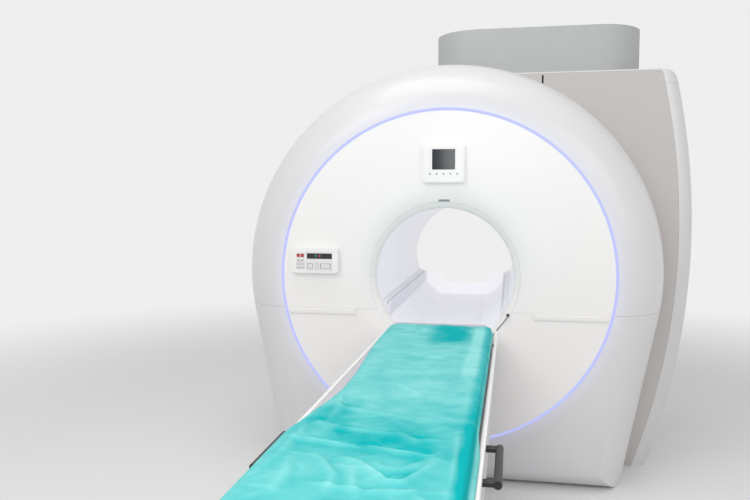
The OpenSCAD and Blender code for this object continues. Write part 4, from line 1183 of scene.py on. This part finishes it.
@dataclass
class SignalLead:
    """The thin free lead from the mouth's ledge to the lower cover."""

    diameter: float = 0.005
    round_steps: int = 3
    route: tuple[Point, ...] = (
        (0.322, -0.786, 0.886), (0.322, -0.797, 0.885), (0.320, -0.808, 0.882), (0.316, -0.818, 0.877),
        (0.309, -0.827, 0.869), (0.301, -0.834, 0.859), (0.291, -0.839, 0.847), (0.280, -0.842, 0.834),
        (0.270, -0.843, 0.821), (0.260, -0.843, 0.807), (0.254, -0.843, 0.792), (0.250, -0.843, 0.776),
        (0.246, -0.843, 0.758), (0.242, -0.842, 0.739), (0.239, -0.841, 0.720), (0.236, -0.840, 0.701),
        (0.233, -0.839, 0.682), (0.230, -0.837, 0.664), (0.226, -0.833, 0.649), (0.222, -0.825, 0.639),
        (0.220, -0.813, 0.636),
    )

    def build(self) -> Object:
        """Returns:
            The lead.
        """
        curve = bpy.data.curves.new("signal_lead_flex", "CURVE")
        curve.dimensions = "3D"
        curve.bevel_depth = self.diameter / 2
        curve.bevel_resolution = self.round_steps
        curve.use_fill_caps = True
        spline = curve.splines.new("POLY")
        spline.points.add(len(self.route) - 1)
        for point, place in zip(spline.points, self.route):
            point.co = (*place, 1)
        curve.materials.append(CABLE.build())
        lead = stand("signal_lead_flex", curve)
        settle(lead, "gantry", "signal_lead")
        return lead


@dataclass(frozen=True)
class Lamp:
    """One soft square lamp."""

    name: str
    place: Point
    aim: Point
    size: float
    watts: float

    def build(self) -> None:
        """Hangs the lamp and turns it to what it looks at."""
        data = bpy.data.lights.new(self.name, "AREA")
        data.size = self.size
        data.energy = self.watts
        lamp = stand(self.name, data)
        lamp.location = self.place
        lamp.rotation_euler = (Vector(self.aim) - Vector(self.place)).to_track_quat("-Z", "Y").to_euler()


@dataclass
class Studio:
    """The floor, the soft light and the camera at the photograph's angle."""

    camera_at: Point = (0.3376, -4.4109, 1.4821)
    tilt_deg: float = 85.699
    turn_deg: float = 10.767
    lens: float = 34.658
    sensor: float = 36.0
    world: float = 0.56
    world_tint: Colour = (1.0, 0.985, 0.975)
    backdrop: Colour = (0.86, 0.86, 0.865)
    floor_half: float = 30.0
    floor_fade: Pair = (2.2, 6.5)
    lamps: tuple[Lamp, ...] = (
        Lamp("key", (-2.6, -5.2, 4.6), (0.0, -1.0, 1.0), 2.6, 60.0),
        Lamp("fill", (3.4, -4.6, 3.4), (0.2, -0.8, 1.1), 3.0, 43.0),
        Lamp("ceiling", (-0.5, -1.7, 4.6), (-0.1, -1.8, 0.8), 2.4, 38.0),
        Lamp("bore", (0.1, -3.9, 2.0), (0.0, 0.8, 0.85), 0.8, 12.0),
    )

    def build(self) -> None:
        """Sets the camera, the lamps, the world and the floor."""
        scene = bpy.context.scene
        scene.view_settings.view_transform = "Standard"
        self.camera(scene)
        self.surroundings(scene)
        self.floor()
        for lamp in self.lamps:
            lamp.build()

    def camera(self, scene: Scene) -> None:
        """Puts the camera where the photograph was taken.

        Args:
            scene: the scene that it belongs to.
        """
        data = bpy.data.cameras.new("camera")
        data.lens = self.lens
        data.sensor_width = self.sensor
        eye = stand("camera", data)
        eye.location = self.camera_at
        eye.rotation_euler = (math.radians(self.tilt_deg), 0.0, math.radians(self.turn_deg))
        scene.camera = eye

    def surroundings(self, scene: Scene) -> None:
        """A pale world: plain for the lamps, near white for the eye.

        Args:
            scene: the scene that it belongs to.
        """
        world = bpy.data.worlds.new("room")
        scene.world = world
        world.use_nodes = True
        tree = world.node_tree
        plain = tree.nodes["Background"]
        fill(tree, plain, {"Color": (*self.world_tint, 1), "Strength": self.world})
        seen = add(tree, "ShaderNodeBackground", "Background",
                   {"Color": (*self.backdrop, 1), "Strength": 1.0})
        rays = tree.nodes.new("ShaderNodeLightPath").outputs
        share = rays["Is Camera Ray"]
        for kind in ("Is Glossy Ray", "Is Transmission Ray"):
            share = add(tree, "ShaderNodeMath", "Value", {0: share, 1: rays[kind]}, operation="MAXIMUM")
        self.blend(tree, "World Output", share, plain.outputs["Background"], seen)

    def floor(self) -> None:
        """A plain pale floor that runs out into the backdrop's colour."""
        half = self.floor_half
        slab = solid("floor", [(-half, -half, 0), (half, -half, 0), (half, half, 0), (-half, half, 0)],
                     [(0, 1, 2, 3)], FLOOR)
        tree = slab.data.materials[0].node_tree
        far = add(tree, "ShaderNodeEmission", "Emission", {"Color": (*self.backdrop, 1)})
        place = tree.nodes.new("ShaderNodeTexCoord").outputs["Object"]
        reach = add(tree, "ShaderNodeVectorMath", "Value", {0: place}, operation="LENGTH")
        fade = add(tree, "ShaderNodeMapRange", "Result", {
            "Value": reach, "From Min": self.floor_fade[0], "From Max": self.floor_fade[1],
        }, interpolation_type="SMOOTHSTEP")
        near = tree.nodes["Principled BSDF"].outputs["BSDF"]
        self.blend(tree, "Material Output", fade, near, far)

    @staticmethod
    def blend(tree: NodeTree, output: str, share: NodeSocket, first: NodeSocket, second: NodeSocket) -> None:
        """Joins two shaders at a tree's output node, by the share of the second."""
        mix = add(tree, "ShaderNodeMixShader", "Shader", {"Fac": share, 1: first, 2: second})
        fill(tree, tree.nodes[output], {"Surface": mix})


def main() -> None:
    """Builds every sub-assembly in order."""
    logging.basicConfig(level=logging.INFO, format="%(name)s: %(message)s")
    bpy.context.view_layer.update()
    Studio().build()
    SignalLead().build()
    Gantry().build()
    FrontFittings().build()
    Table().build()
    Bedding().build()


if __name__ == "__main__":
    main()
